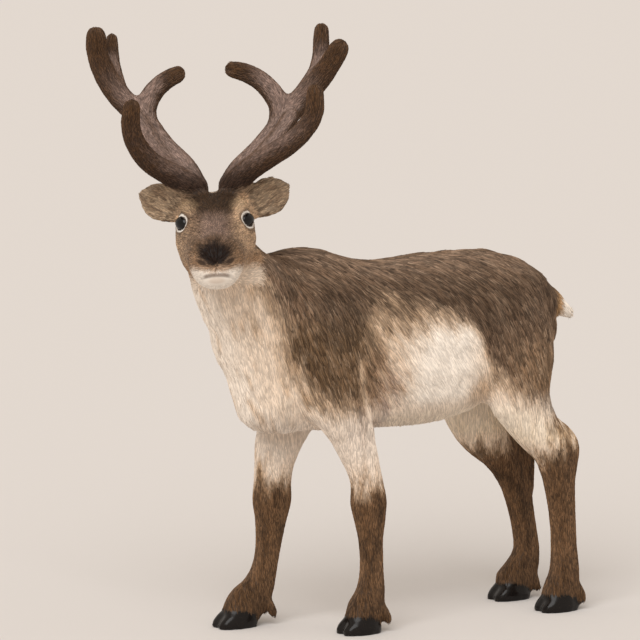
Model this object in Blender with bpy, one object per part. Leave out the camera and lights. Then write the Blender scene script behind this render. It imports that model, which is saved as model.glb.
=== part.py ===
"""Reindeer figurine, one solid moulding of soft plastic that stands on its four hooves.

The animal faces -Y, its left side is +X and +Z is up. It stands square, with the right foreleg
a step forward and the head turned to its left. The soles lie in the plane z = 0, and the origin
is under the middle of the figure's box.

Each member is a loft of oval rings along a smooth path. The members are fused into one skin,
softened, carved (eyes, nostrils, mouth, ears, clefts) and cut flat at the soles.
"""

import math
from typing import NamedTuple

import bmesh
import bpy
import numpy as np
from mathutils import Matrix, Vector

# Driving size, in metres: the height of the withers above the ground
WITHERS_HEIGHT = 0.085

# The pose and the proportions are shares of that height. One unit is a millimetre on a figure
# that measures 85 mm at the withers, and every size below is in these units.
UNIT = WITHERS_HEIGHT / 85

# Head: where its frame sits (between the eyes) and how it is turned, in degrees
HEAD_POINT = (8.0, -54.0, 92.4)
HEAD_TURN = 62.0
HEAD_ROLL = 3.0

# Antlers in velvet: full thickness of each kind of tine
BEAM_THICKNESS = 5.0
BROW_THICKNESS = 4.7
INNER_THICKNESS = 4.3
RIGHT_TWIN_THICKNESS = 3.2
LEFT_TWIN_THICKNESS = 4.0
WEB_THICKNESS = 3.2
PEDICLE_THICKNESS = 5.6
PEDICLE_DEPTH = 4.0
# Shares of that thickness at the root and at the tip of each kind of tine
BROW_ENDS = (1.15, 0.8)
BEAM_ENDS = (1.2, 0.88)
INNER_ENDS = (1.15, 0.88)
TWIN_ENDS = (1.15, 0.86)
# The pedicle's thickness at its foot, at its top and at the fork, as shares
PEDICLE_ENDS = (1.0, 0.95, 0.75)
# Share of the gap between brow tine and beam that the web fills, from the root up
WEB_FILL = (1.0, 1.0, 0.62, 0.4, 0.3)

# Ears, as leaves with a cup; the left ear's root and axis, in the head's frame
EAR_LENGTH = 11.7
EAR_WIDTH = 8.8
EAR_THICKNESS = 3.2
EAR_HOLLOW_DEPTH = 1.5
EAR_ROOT = (5.5, 5.4, 1.3)
EAR_ROOT_SHIFT = 0.2
EAR_AXIS = (0.9, 0.12, 0.42)
# Share of the length, of the width and of the thickness at each section
EAR_SECTIONS = ((0.0, 0.52, 1.0), (0.35, 0.86, 1.0), (0.6, 1.0, 0.9), (0.82, 0.78, 0.75),
                (0.98, 0.3, 0.4))
# The cup's middle along the ear, and its half length and half width, as shares
EAR_CUP = (0.56, 0.32, 0.34)

# Face carving, on the left side and in the head's frame
EYE_LENGTH = 4.2
EYE_HEIGHT = 3.5
EYE_BULGE = 0.6
EYE_PLACE = (7.25, -3.0, 0.2)
EYE_FACING = (0.76, -0.64, 0.1)
EYEBALL_DEPTH = 1.6
SOCKET_MARGIN = 0.55
SOCKET_DEPTH = 1.1
SOCKET_LIFT = 0.45
NOSTRIL_LENGTH = 2.0
NOSTRIL_HEIGHT = 1.3
NOSTRIL_DEPTH = 1.1
NOSTRIL_PLACE = (3.3, -20.5, -6.7)
NOSTRIL_TILT = 24.0
MOUTH_GROOVE = 0.9
MOUTH_MIDDLE = (0.0, -20.1, -9.4)
MOUTH_SIDE = ((6.2, -12.8, -9.0), (5.5, -16.8, -9.9), (3.2, -19.3, -9.9))

# Feet
HOOF_LENGTH = 8.2
HOOF_WIDTH = 7.2
HOOF_HEIGHT = 4.0
# Each toe from heel to tip: shares of the length, the spread, the height and the width
TOE_SECTIONS = ((0.46, 0.86, 0.55, 0.8), (0.2, 1.0, 0.85, 1.0), (-0.12, 1.0, 0.92, 1.0),
                (-0.34, 0.92, 0.62, 0.86), (-0.46, 0.8, 0.36, 0.6))
TOE_OVERLAP = 0.12
TOE_HALF_HEIGHT = 0.68
CLEFT_WIDTH = 0.9
CLEFT_LENGTH = 5.4
CLEFT_BELOW = 3.0
CLEFT_ABOVE = 2.5
CLEFT_BEFORE = 1.5
CLEFT_FLARE = 1.2
DEWCLAW_THICKNESS = 2.3
# Each dewclaw from root to tip: spread, place behind, height and shares of the thickness
DEWCLAW_SECTIONS = ((1.3, -2.6, 6.4, 1.1, 1.2), (1.9, -0.8, 4.2, 1.0, 1.05),
                    (2.3, 0.1, 2.0, 0.72, 0.8))

# Tail
TAIL_LENGTH = 10.2
TAIL_THICKNESS = 6.4
TAIL_ROOT = (0.0, 32.0, 71.5)
TAIL_DROP = 31.0
# Share of the length and of the thickness at each section
TAIL_SECTIONS = ((0.0, 1.0), (0.35, 0.92), (0.7, 0.68), (1.0, 0.44))

# How square the sections are (2 is an ellipse), how much their undersides narrow, and how
# domed the head's two ends are
TRUNK_SQUARENESS = 2.25
NECK_SQUARENESS = 2.1
NECK_PINCH = 0.12
HEAD_SQUARENESS = 2.45
HEAD_PINCH = 0.2
HEAD_BLUNT = 0.45
TOE_SQUARENESS = 2.4

# Skin: the grid that fuses the members, the softening passes and the final facet count
GRID = 0.55
CARVED_GRID = 0.42
SOFTEN_PASSES = 5
BLEND_PASSES = 26
FACETS = 9700
LOFT_SIDES = 20
LOFT_STEPS = 4
DOME_STEPS = 4

# Where the strong blending of the trunk's joints fades out: down the legs, around the head
# and above the withers
BLEND_FULL_HEIGHT = 46.0
BLEND_END_HEIGHT = 37.0
HEAD_CLEARANCE = 17.0
HEAD_FADE = 6.0
BLEND_TOP = 86.0
TOP_FADE = 2.0

COAT_COLOUR = (0.13, 0.085, 0.055, 1.0)
COAT_ROUGHNESS = 0.6
COAT_METALLIC = 0.0

X_AXIS = (1.0, 0.0, 0.0)


class Ring(NamedTuple):
    """An oval ring of a loft: its centre and its two half sizes."""

    x: float
    y: float
    z: float
    half_width: float
    half_depth: float


class Girth(NamedTuple):
    """A section across the trunk or the head: its place along, top, bottom and half width."""

    along: float
    top: float
    bottom: float
    half_width: float


class Foot(NamedTuple):
    """Where a hoof and its dewclaws stand: the hoof's middle and the dewclaws' distance behind."""

    x: float
    y: float
    dewclaw_back: float


TRUNK = [
    Girth(29.7, 79.0, 57.6, 5.4),
    Girth(27.2, 80.5, 53.6, 9.0),
    Girth(22.0, 81.5, 49.5, 12.1),
    Girth(15.0, 82.3, 48.0, 13.2),
    Girth(5.0, 82.2, 44.6, 13.8),
    Girth(-4.0, 81.4, 43.6, 14.0),
    Girth(-14.0, 81.1, 44.0, 13.4),
    Girth(-22.0, 82.9, 44.0, 12.6),
    Girth(-30.0, 84.9, 44.2, 12.0),
    Girth(-37.0, 82.2, 45.6, 10.2),
    Girth(-41.5, 74.0, 48.5, 6.5),
]

# The croup, which rounds the top of the rump down to the tail
CROUP = [
    Ring(0.0, 17.5, 75.0, 9.0, 6.5),
    Ring(0.0, 23.5, 74.0, 8.4, 6.3),
    Ring(0.0, 28.3, 71.5, 7.0, 6.0),
    Ring(0.0, 31.2, 69.2, 5.6, 5.0),
]

NECK = [
    Ring(0.0, -28.6, 58.0, 11.4, 18.2),
    Ring(0.0, -36.0, 68.0, 10.6, 14.0),
    Ring(0.0, -43.9, 76.2, 9.2, 10.2),
    Ring(0.0, -48.7, 84.0, 8.0, 7.6),
    Ring(0.6, -50.6, 91.0, 7.2, 7.0),
]

# Sections across the head, placed along its own forward direction from between the eyes
HEAD = [
    Girth(-9.0, 3.2, -8.5, 5.6),
    Girth(-6.0, 5.6, -13.0, 7.7),
    Girth(-2.0, 5.8, -14.2, 8.6),
    Girth(1.2, 4.3, -14.3, 8.4),
    Girth(4.4, 2.4, -14.0, 7.4),
    Girth(8.0, 0.7, -13.5, 6.6),
    Girth(12.0, -0.7, -13.2, 6.2),
    Girth(15.8, -1.7, -13.1, 5.9),
    Girth(18.4, -3.0, -12.0, 5.0),
]

# Swellings on the left side of the head, in its frame: over the eye, the cheek and the nostril
BROW_PAD = [Ring(5.9, 1.0, 2.9, 1.6, 1.6), Ring(5.3, -3.4, 2.3, 1.4, 1.4)]
CHEEK_PAD = [Ring(5.4, 2.5, -7.5, 2.4, 3.4), Ring(4.9, -4.5, -7.4, 1.9, 2.8)]
NOSTRIL_PAD = [Ring(2.5, -16.0, -5.4, 2.2, 2.4), Ring(2.7, -18.7, -6.2, 1.9, 2.1)]

# Antlers in the head's frame: x to the head's left, y backwards, z up
RIGHT_ANTLER = {
    "brow": [(-4.3, 4.8, 6.6), (-8.6, 2.4, 10.0), (-13.1, -1.2, 13.5), (-15.8, -4.6, 18.0),
             (-16.5, -6.6, 22.2), (-16.0, -8.0, 25.7)],
    "beam": [(-4.0, 6.2, 6.6), (-6.3, 9.2, 10.8), (-10.2, 12.6, 14.8), (-13.2, 14.6, 19.2),
             (-15.9, 15.4, 22.8), (-19.6, 15.6, 27.0), (-22.2, 15.2, 31.6),
             (-23.5, 14.4, 36.6), (-23.5, 13.3, 40.0)],
    "inner": [(-13.9, 14.9, 20.0), (-13.7, 15.8, 24.0), (-12.0, 16.6, 27.0), (-9.4, 16.9, 29.3),
              (-6.5, 16.5, 30.7)],
    "twin": [(-18.9, 16.2, 26.6), (-20.0, 17.7, 31.0), (-20.4, 18.6, 34.8), (-20.3, 19.0, 39.0)],
}
LEFT_ANTLER = {
    "brow": [(4.3, 4.8, 6.6), (7.1, 2.4, 9.8), (11.6, -1.5, 12.9), (16.2, -5.2, 15.7),
             (20.0, -7.5, 19.0), (22.3, -8.5, 22.6), (22.7, -9.1, 26.9)],
    "beam": [(4.0, 6.2, 6.6), (6.2, 9.2, 9.6), (10.2, 12.2, 13.0), (14.2, 14.0, 17.2),
             (17.0, 14.9, 21.0), (20.6, 14.8, 24.6), (24.2, 14.3, 28.2), (27.0, 13.2, 32.0),
             (28.6, 12.4, 34.6)],
    "inner": [(14.8, 14.4, 17.8), (15.2, 15.2, 22.4), (13.4, 16.2, 26.1), (10.7, 16.5, 28.8),
              (7.8, 16.3, 30.4), (5.5, 16.0, 31.1)],
    "twin": [(21.2, 15.6, 25.8), (23.5, 16.9, 28.9), (24.6, 17.9, 32.5), (25.1, 18.4, 38.4)],
}

SHOULDER = [
    Ring(6.8, -30.0, 75.0, 4.5, 6.5),
    Ring(8.9, -29.5, 65.0, 4.8, 8.6),
    Ring(9.4, -26.0, 55.0, 4.6, 8.0),
    Ring(9.0, -22.5, 47.0, 4.2, 5.8),
]

LEFT_FORELEG = [
    Ring(8.8, -22.0, 48.0, 4.2, 5.8),
    Ring(8.6, -20.2, 42.8, 3.8, 4.9),
    Ring(8.7, -17.9, 36.5, 3.3, 3.8),
    Ring(8.8, -17.0, 32.6, 3.2, 3.7),
    Ring(8.9, -16.7, 28.8, 3.4, 4.2),
    Ring(9.0, -16.4, 25.0, 2.9, 3.6),
    Ring(9.1, -16.2, 20.0, 2.3, 2.8),
    Ring(9.3, -16.1, 14.0, 2.3, 2.7),
    Ring(9.5, -16.5, 9.0, 2.8, 3.3),
    Ring(9.6, -17.9, 5.2, 3.2, 4.2),
    Ring(9.6, -18.8, 3.0, 3.1, 4.0),
]
RIGHT_FORELEG = [
    Ring(-8.8, -26.0, 48.0, 4.2, 6.4),
    Ring(-8.4, -29.4, 42.0, 4.0, 5.8),
    Ring(-8.5, -30.8, 36.0, 3.6, 4.6),
    Ring(-8.6, -31.2, 31.6, 3.5, 4.3),
    Ring(-8.7, -31.3, 27.8, 3.6, 4.5),
    Ring(-8.9, -31.5, 23.4, 3.0, 3.6),
    Ring(-9.1, -32.0, 17.7, 2.5, 2.9),
    Ring(-9.3, -32.9, 12.6, 2.5, 2.9),
    Ring(-9.5, -34.5, 8.2, 2.9, 3.8),
    Ring(-9.7, -37.2, 5.0, 3.2, 4.6),
    Ring(-9.7, -38.9, 3.0, 3.1, 4.4),
]

THIGH = [
    Ring(6.0, 20.0, 74.0, 4.8, 8.5),
    Ring(7.6, 20.3, 65.0, 5.6, 10.6),
    Ring(8.2, 21.3, 56.0, 5.6, 9.6),
    Ring(8.8, 22.0, 49.0, 5.0, 7.4),
]

LEFT_HIND_LEG = [
    Ring(8.8, 22.0, 50.0, 5.0, 7.8),
    Ring(8.9, 25.4, 43.5, 4.3, 5.8),
    Ring(8.9, 30.4, 37.6, 3.7, 4.8),
    Ring(8.9, 32.2, 32.8, 3.3, 4.2),
    Ring(8.8, 33.1, 27.0, 2.8, 3.5),
    Ring(8.8, 33.8, 20.5, 2.5, 3.1),
    Ring(8.7, 34.2, 14.5, 2.5, 3.1),
    Ring(8.7, 34.4, 9.0, 3.0, 3.5),
    Ring(8.6, 33.6, 5.0, 3.2, 4.2),
    Ring(8.6, 32.8, 3.0, 3.1, 4.2),
]
RIGHT_HIND_LEG = [
    Ring(-8.5, 18.2, 50.0, 5.0, 8.0),
    Ring(-8.5, 21.8, 41.0, 4.3, 6.3),
    Ring(-8.4, 27.8, 34.6, 3.8, 5.0),
    Ring(-8.4, 31.2, 28.6, 3.3, 3.9),
    Ring(-8.4, 32.9, 22.6, 2.6, 3.2),
    Ring(-8.4, 34.3, 16.0, 2.5, 2.9),
    Ring(-8.4, 34.9, 10.6, 2.7, 3.2),
    Ring(-8.3, 33.4, 6.4, 3.1, 4.2),
    Ring(-8.3, 31.2, 3.4, 3.1, 4.8),
]

# The heel tendon of each hind leg, which ends in the point of the hock
LEFT_TENDON = [
    Ring(8.6, 26.2, 52.0, 2.2, 2.4),
    Ring(8.9, 28.0, 46.8, 1.8, 2.2),
    Ring(8.9, 29.6, 43.4, 1.8, 2.1),
    Ring(8.9, 33.8, 40.2, 1.9, 2.1),
    Ring(8.9, 35.6, 37.2, 2.0, 2.1),
    Ring(8.8, 35.2, 33.0, 2.0, 2.0),
    Ring(8.8, 34.6, 29.0, 1.9, 1.9),
]
RIGHT_TENDON = [
    Ring(-8.5, 23.4, 50.0, 2.2, 2.4),
    Ring(-8.4, 26.2, 44.6, 1.8, 2.2),
    Ring(-8.4, 28.4, 41.0, 1.8, 2.1),
    Ring(-8.4, 32.2, 37.6, 1.9, 2.1),
    Ring(-8.4, 34.3, 34.6, 2.0, 2.1),
    Ring(-8.4, 34.6, 29.4, 2.0, 2.0),
    Ring(-8.4, 34.6, 25.0, 1.9, 1.9),
]

FEET = [
    Foot(9.6, -19.8, 6.7),
    Foot(-9.8, -40.4, 9.0),
    Foot(8.6, 32.0, 6.2),
    Foot(-8.2, 29.8, 6.8),
]


def smooth_rows(rows, steps=LOFT_STEPS):
    """Rows of numbers read along a Catmull-Rom curve through the given rows."""
    table = np.array(rows, dtype=float)
    first = 2 * table[0] - table[1]
    last = 2 * table[-1] - table[-2]
    padded = np.vstack([first, table, last])
    out = []
    for i in range(len(table) - 1):
        before, start, end, after = padded[i:i + 4]
        for step in range(steps):
            t = step / steps
            out.append(0.5 * (2 * start + (end - before) * t
                              + (2 * before - 5 * start + 4 * end - after) * t ** 2
                              + (3 * start - before - 3 * end + after) * t ** 3))
    out.append(table[-1])
    return np.array(out)


def oval(squareness):
    """Unit oval as (across, deep) pairs; 2 is an ellipse and more is squarer."""
    points = []
    for k in range(LOFT_SIDES):
        angle = 2 * math.pi * k / LOFT_SIDES
        c, s = math.cos(angle), math.sin(angle)
        across = math.copysign(abs(c) ** (2 / squareness), c)
        deep = math.copysign(abs(s) ** (2 / squareness), s)
        points.append((across, deep))
    return points


def loft(mesh, rings, across=X_AXIS, squareness=2.0, pinch=0.0, blunt=1.0, frame=None):
    """Adds a closed round-ended body through the rings to a bmesh.

    across is the direction of the rings' widths. pinch narrows the underside by that share,
    blunt is the height of the domed ends as a share of a half ball, and frame places the points.
    """
    rows = smooth_rows(rings)
    centres = rows[:, :3]
    tangents = np.gradient(centres, axis=0)
    tangents /= np.linalg.norm(tangents, axis=1)[:, None]
    sections = [(c, t, row[3], row[4]) for c, t, row in zip(centres, tangents, rows)]
    starts, ends = [], []
    for k in range(1, DOME_STEPS):
        angle = 0.5 * math.pi * k / DOME_STEPS
        shrink, rise = math.cos(angle), math.sin(angle)
        for bucket, (c, t, w, d), sign in ((starts, sections[0], -1), (ends, sections[-1], 1)):
            dome = blunt * rise * min(w, d)
            bucket.append((c + sign * dome * t, t, w * shrink, d * shrink))
    sections = starts[::-1] + sections + ends

    outline = oval(squareness)
    loops = []
    for c, t, w, d in sections:
        wide = np.array(across, dtype=float)
        wide -= wide.dot(t) * t
        wide /= np.linalg.norm(wide)
        deep = np.cross(t, wide)
        points = [Vector(c + w * a * (1 + pinch * min(b, 0.0)) * wide + d * b * deep)
                  for a, b in outline]
        loops.append([mesh.verts.new(frame @ p if frame else p) for p in points])
    faces = []
    for lower, upper in zip(loops, loops[1:]):
        for k in range(LOFT_SIDES):
            after = (k + 1) % LOFT_SIDES
            faces.append(mesh.faces.new((lower[k], lower[after], upper[after], upper[k])))
    faces.append(mesh.faces.new(loops[0][::-1]))
    faces.append(mesh.faces.new(loops[-1]))
    bmesh.ops.recalc_face_normals(mesh, faces=faces)


def head_frame():
    """Placement of the head: x to its left, y backwards, z up, from between the eyes."""
    return (Matrix.Translation(HEAD_POINT) @ Matrix.Rotation(math.radians(HEAD_TURN), 4, "Z")
            @ Matrix.Rotation(math.radians(-HEAD_ROLL), 4, "Y"))


def girth_rings(girths, sign=1):
    """Rings across the y axis from sections given by their top, bottom and half width."""
    return [Ring(0.0, sign * g.along, (g.top + g.bottom) / 2, g.half_width,
                 (g.top - g.bottom) / 2) for g in girths]


def mirrored(rings):
    """The same rings on the animal's right side."""
    return [ring._replace(x=-ring.x) for ring in rings]


def add_trunk_and_neck(mesh):
    loft(mesh, girth_rings(TRUNK), squareness=TRUNK_SQUARENESS)
    loft(mesh, CROUP)
    loft(mesh, NECK, squareness=NECK_SQUARENESS, pinch=NECK_PINCH)


def add_tail(mesh):
    """A short blunt tail that hangs back from the croup."""
    drop = math.radians(TAIL_DROP)
    x, y, z = TAIL_ROOT
    rings = []
    for share, girth in TAIL_SECTIONS:
        reach = share * TAIL_LENGTH
        half = girth * TAIL_THICKNESS / 2
        rings.append(Ring(x, y + reach * math.cos(drop), z - reach * math.sin(drop), half, half))
    loft(mesh, rings)


def add_head(mesh, frame):
    """The skull and muzzle, with the brows, cheeks and nostrils as low swellings."""
    loft(mesh, girth_rings(HEAD, sign=-1), squareness=HEAD_SQUARENESS, pinch=HEAD_PINCH,
         blunt=HEAD_BLUNT, frame=frame)
    for pad in (BROW_PAD, CHEEK_PAD, NOSTRIL_PAD):
        loft(mesh, pad, frame=frame)
        loft(mesh, mirrored(pad), frame=frame)


def on_side(point, side):
    """A point or direction given for the left side, for side 1, or its mirror image, for -1."""
    return Vector((point[0] * side, point[1], point[2]))


def ear_lines(side):
    """Root, axis and edge direction of one ear, which points outwards and up."""
    root = on_side(EAR_ROOT, side) + Vector((EAR_ROOT_SHIFT, 0.0, 0.0))
    axis = on_side(EAR_AXIS, side).normalized()
    edge = Vector((-axis.z * side, 0.0, abs(axis.x))).normalized()
    return root, axis, edge


def add_ears(mesh, frame):
    for side in (-1, 1):
        root, axis, edge = ear_lines(side)
        rings = []
        for share, width, thickness in EAR_SECTIONS:
            centre = root + axis * EAR_LENGTH * share
            rings.append(Ring(*centre, width * EAR_WIDTH / 2, thickness * EAR_THICKNESS / 2))
        loft(mesh, rings, across=edge, frame=frame)


def tine(points, thickness, ends):
    """Round rings along a tine; ends are the shares of its thickness at its root and its tip."""
    base, tip = ends
    rings = []
    for k, (x, y, z) in enumerate(points):
        share = k / (len(points) - 1)
        half = thickness / 2 * (base + (tip - base) * share)
        rings.append(Ring(x, y, z, half, half))
    return rings


def add_antler(mesh, frame, antler, twin_thickness):
    """One antler: pedicle, brow tine, beam, inner and twin tines and the web at the fork."""
    loft(mesh, tine(antler["brow"], BROW_THICKNESS, BROW_ENDS), frame=frame)
    loft(mesh, tine(antler["beam"], BEAM_THICKNESS, BEAM_ENDS), frame=frame)
    loft(mesh, tine(antler["inner"], INNER_THICKNESS, INNER_ENDS), frame=frame)
    loft(mesh, tine(antler["twin"], twin_thickness, TWIN_ENDS), frame=frame)
    brow = [Vector(p) for p in antler["brow"]]
    beam = [Vector(p) for p in antler["beam"]]
    pedicle = (brow[0] + beam[0]) / 2
    foot = pedicle - Vector((0.0, 0.0, PEDICLE_DEPTH))
    fork = (brow[1] + beam[1]) / 2
    stem = []
    for point, share in zip((foot, pedicle, fork), PEDICLE_ENDS):
        half = PEDICLE_THICKNESS / 2 * share
        stem.append(Ring(*point, half, half))
    loft(mesh, stem, frame=frame)
    web = []
    for low, high, fill in zip(brow, beam, WEB_FILL):
        centre = low.lerp(high, 1 - fill / 2)
        web.append(Ring(*centre, WEB_THICKNESS / 2, fill * (high - low).length / 2))
    spread = (beam[1] - brow[1]).normalized()
    flat = spread.cross((fork - pedicle).normalized())
    loft(mesh, web, across=flat, frame=frame)


def add_legs(mesh):
    for upper in (SHOULDER, THIGH):
        loft(mesh, upper)
        loft(mesh, mirrored(upper))
    for leg in (LEFT_FORELEG, RIGHT_FORELEG, LEFT_HIND_LEG, RIGHT_HIND_LEG,
                LEFT_TENDON, RIGHT_TENDON):
        loft(mesh, leg)


def add_foot(mesh, foot):
    """Two toes side by side, dipping under the ground to be cut flat, and two dewclaws."""
    toe_half = HOOF_WIDTH / 4 + TOE_OVERLAP
    half = DEWCLAW_THICKNESS / 2
    for side in (-1, 1):
        rings = []
        for share, spread, height, width in TOE_SECTIONS:
            x = foot.x + side * HOOF_WIDTH / 4 * spread
            top = HOOF_HEIGHT * height
            half_height = top * TOE_HALF_HEIGHT
            rings.append(Ring(x, foot.y + share * HOOF_LENGTH, top - half_height,
                              toe_half * width, half_height))
        loft(mesh, rings, squareness=TOE_SQUARENESS)
        back = foot.y + foot.dewclaw_back
        loft(mesh, [Ring(foot.x + side * spread, back + behind, z, half * width, half * depth)
                    for spread, behind, z, width, depth in DEWCLAW_SECTIONS])


def ellipsoid(name, centre, radii, turn=None):
    """A carving body: an ellipsoid with its half sizes along the axes of a turned frame."""
    mesh = bmesh.new()
    bmesh.ops.create_uvsphere(mesh, u_segments=20, v_segments=12, radius=1.0)
    place = Matrix.Translation(centre) @ (turn or Matrix.Identity(4)) @ Matrix.Diagonal((*radii, 1))
    bmesh.ops.transform(mesh, matrix=place, verts=mesh.verts)
    return as_object(name, mesh)


def as_object(name, mesh):
    """Puts a bmesh into a new object of the scene and frees it."""
    data = bpy.data.meshes.new(name)
    mesh.to_mesh(data)
    mesh.free()
    obj = bpy.data.objects.new(name, data)
    bpy.context.collection.objects.link(obj)
    return obj


def bake_modifiers(obj):
    """Replaces the object's mesh with the one that its modifiers make."""
    depsgraph = bpy.context.evaluated_depsgraph_get()
    data = bpy.data.meshes.new_from_object(obj.evaluated_get(depsgraph))
    obj.modifiers.clear()
    obj.data = data


def soften(obj, passes, group=""):
    """Smooths the skin, all of it or only where a vertex group says so."""
    modifier = obj.modifiers.new("soften", "SMOOTH")
    modifier.factor = 0.5
    modifier.iterations = passes
    modifier.vertex_group = group
    bake_modifiers(obj)


def fuse(obj):
    """One closed skin around all the overlapping members, with soft joints at the trunk."""
    reskin(obj, GRID)
    count = len(obj.data.vertices)
    points = np.empty(count * 3)
    obj.data.vertices.foreach_get("co", points)
    points = points.reshape(-1, 3)
    rise = (points[:, 2] - BLEND_END_HEIGHT) / (BLEND_FULL_HEIGHT - BLEND_END_HEIGHT)
    from_head = np.linalg.norm(points - np.array(HEAD_POINT), axis=1)
    away = (from_head - HEAD_CLEARANCE) / HEAD_FADE
    below = (BLEND_TOP - points[:, 2]) / TOP_FADE
    weight = np.clip(rise, 0, 1) * np.clip(away, 0, 1) * np.clip(below, 0, 1)
    group = obj.vertex_groups.new(name="joints")
    for index in range(count):
        group.add([index], float(weight[index]), "REPLACE")
    soften(obj, BLEND_PASSES, "joints")
    soften(obj, SOFTEN_PASSES)


def reskin(obj, grid):
    """One closed, even skin around everything in the object."""
    remesh = obj.modifiers.new("reskin", "REMESH")
    remesh.mode = "VOXEL"
    remesh.voxel_size = grid
    bake_modifiers(obj)


def cut(body, cutter, operation="DIFFERENCE"):
    """Takes a carving body away from the skin, or joins it on, and removes it."""
    boolean = body.modifiers.new(operation, "BOOLEAN")
    boolean.operation = operation
    boolean.solver = "EXACT"
    boolean.object = cutter
    bake_modifiers(body)
    bpy.data.objects.remove(cutter)


def carve_eyes(body, frame):
    """A socket around each eyeball, and the ball standing a little proud in it."""
    for side in (-1, 1):
        out = on_side(EYE_FACING, side).normalized()
        turn = (frame.to_3x3() @ out.to_track_quat("Z", "Y").to_matrix()).to_4x4()
        surface = on_side(EYE_PLACE, side)
        socket = (EYE_LENGTH / 2 + SOCKET_MARGIN, EYE_HEIGHT / 2 + SOCKET_MARGIN, SOCKET_DEPTH)
        cut(body, ellipsoid("socket", frame @ (surface + out * SOCKET_LIFT), socket, turn))
        ball = (EYE_LENGTH / 2, EYE_HEIGHT / 2, EYEBALL_DEPTH)
        centre = surface + out * (EYE_BULGE - EYEBALL_DEPTH)
        cut(body, ellipsoid("eyeball", frame @ centre, ball, turn), "UNION")


def carve_nostrils(body, frame):
    for side in (-1, 1):
        tilt = Matrix.Rotation(math.radians(side * NOSTRIL_TILT), 3, "Y")
        turn = (frame.to_3x3() @ tilt).to_4x4()
        radii = (NOSTRIL_LENGTH / 2, NOSTRIL_DEPTH, NOSTRIL_HEIGHT / 2)
        cut(body, ellipsoid("nostril", frame @ on_side(NOSTRIL_PLACE, side), radii, turn))


def carve_mouth(body, frame):
    """A groove that runs back from under the nose to the corners of the mouth."""
    mesh = bmesh.new()
    left = [on_side(point, 1) for point in MOUTH_SIDE]
    right = [on_side(point, -1) for point in MOUTH_SIDE[::-1]]
    line = left + [Vector(MOUTH_MIDDLE)] + right
    half = MOUTH_GROOVE / 2
    loft(mesh, [Ring(*p, half, half) for p in line], across=(0.0, 0.0, 1.0), frame=frame)
    cut(body, as_object("mouth", mesh))


def carve_ears(body, frame):
    """The cup of each ear, open to the front."""
    for side in (-1, 1):
        root, axis, edge = ear_lines(side)
        front = axis.cross(edge).normalized()
        if front.y > 0:
            edge, front = -edge, -front
        basis = Matrix((axis, edge, front)).transposed()
        turn = (frame.to_3x3() @ basis).to_4x4()
        along, half_length, half_width = EAR_CUP
        centre = root + axis * EAR_LENGTH * along + front * (EAR_THICKNESS / 2)
        radii = (EAR_LENGTH * half_length, EAR_WIDTH * half_width, EAR_HOLLOW_DEPTH)
        cut(body, ellipsoid("ear_hollow", frame @ centre, radii, turn))


def carve_clefts(body):
    """A wedge between the toes of each hoof, widest at the front."""
    for foot in FEET:
        front = foot.y - HOOF_LENGTH / 2 - CLEFT_BEFORE
        back = foot.y - HOOF_LENGTH / 2 + CLEFT_LENGTH
        top = HOOF_HEIGHT + CLEFT_ABOVE
        mesh = bmesh.new()
        wide, narrow = CLEFT_WIDTH / 2, CLEFT_WIDTH / 8
        corners = [(-wide, front), (wide, front), (narrow, back), (-narrow, back)]
        bottom = [mesh.verts.new((foot.x + dx, y, -CLEFT_BELOW)) for dx, y in corners]
        lid = [mesh.verts.new((foot.x + dx * CLEFT_FLARE, y, top)) for dx, y in corners]
        mesh.faces.new(bottom)
        mesh.faces.new(lid)
        for k in range(4):
            mesh.faces.new((bottom[k], bottom[(k + 1) % 4], lid[(k + 1) % 4], lid[k]))
        bmesh.ops.recalc_face_normals(mesh, faces=mesh.faces)
        cut(body, as_object("cleft", mesh))


def thin_out(body):
    """Reduces the skin to the facets that its curves need."""
    triangles = sum(len(p.vertices) - 2 for p in body.data.polygons)
    decimate = body.modifiers.new("thin_out", "DECIMATE")
    decimate.ratio = FACETS / triangles
    bake_modifiers(body)


def flatten_soles(body):
    """Cuts the hooves off level at the ground and closes them with flat soles."""
    mesh = bmesh.new()
    mesh.from_mesh(body.data)
    everything = list(mesh.verts) + list(mesh.edges) + list(mesh.faces)
    done = bmesh.ops.bisect_plane(mesh, geom=everything, plane_co=(0, 0, 0),
                                  plane_no=(0, 0, -1), clear_outer=True, dist=1e-4)
    rim = [item for item in done["geom_cut"] if isinstance(item, bmesh.types.BMEdge)]
    bmesh.ops.holes_fill(mesh, edges=rim, sides=0)
    bmesh.ops.triangulate(mesh, faces=[f for f in mesh.faces if len(f.verts) > 3])
    mesh.to_mesh(body.data)
    mesh.free()


def centre_and_scale(body):
    """Brings the box's middle over the origin and turns the units into metres."""
    count = len(body.data.vertices)
    points = np.empty(count * 3)
    body.data.vertices.foreach_get("co", points)
    points = points.reshape(-1, 3)
    low, high = points.min(axis=0), points.max(axis=0)
    shift = Vector((-(low[0] + high[0]) / 2, -(low[1] + high[1]) / 2, -low[2]))
    body.data.transform(Matrix.Scale(UNIT, 4) @ Matrix.Translation(shift))


def coat_material():
    material = bpy.data.materials.new("painted_soft_plastic")
    material.use_nodes = True
    shader = material.node_tree.nodes["Principled BSDF"]
    shader.inputs["Base Color"].default_value = COAT_COLOUR
    shader.inputs["Roughness"].default_value = COAT_ROUGHNESS
    shader.inputs["Metallic"].default_value = COAT_METALLIC
    return material


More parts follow.
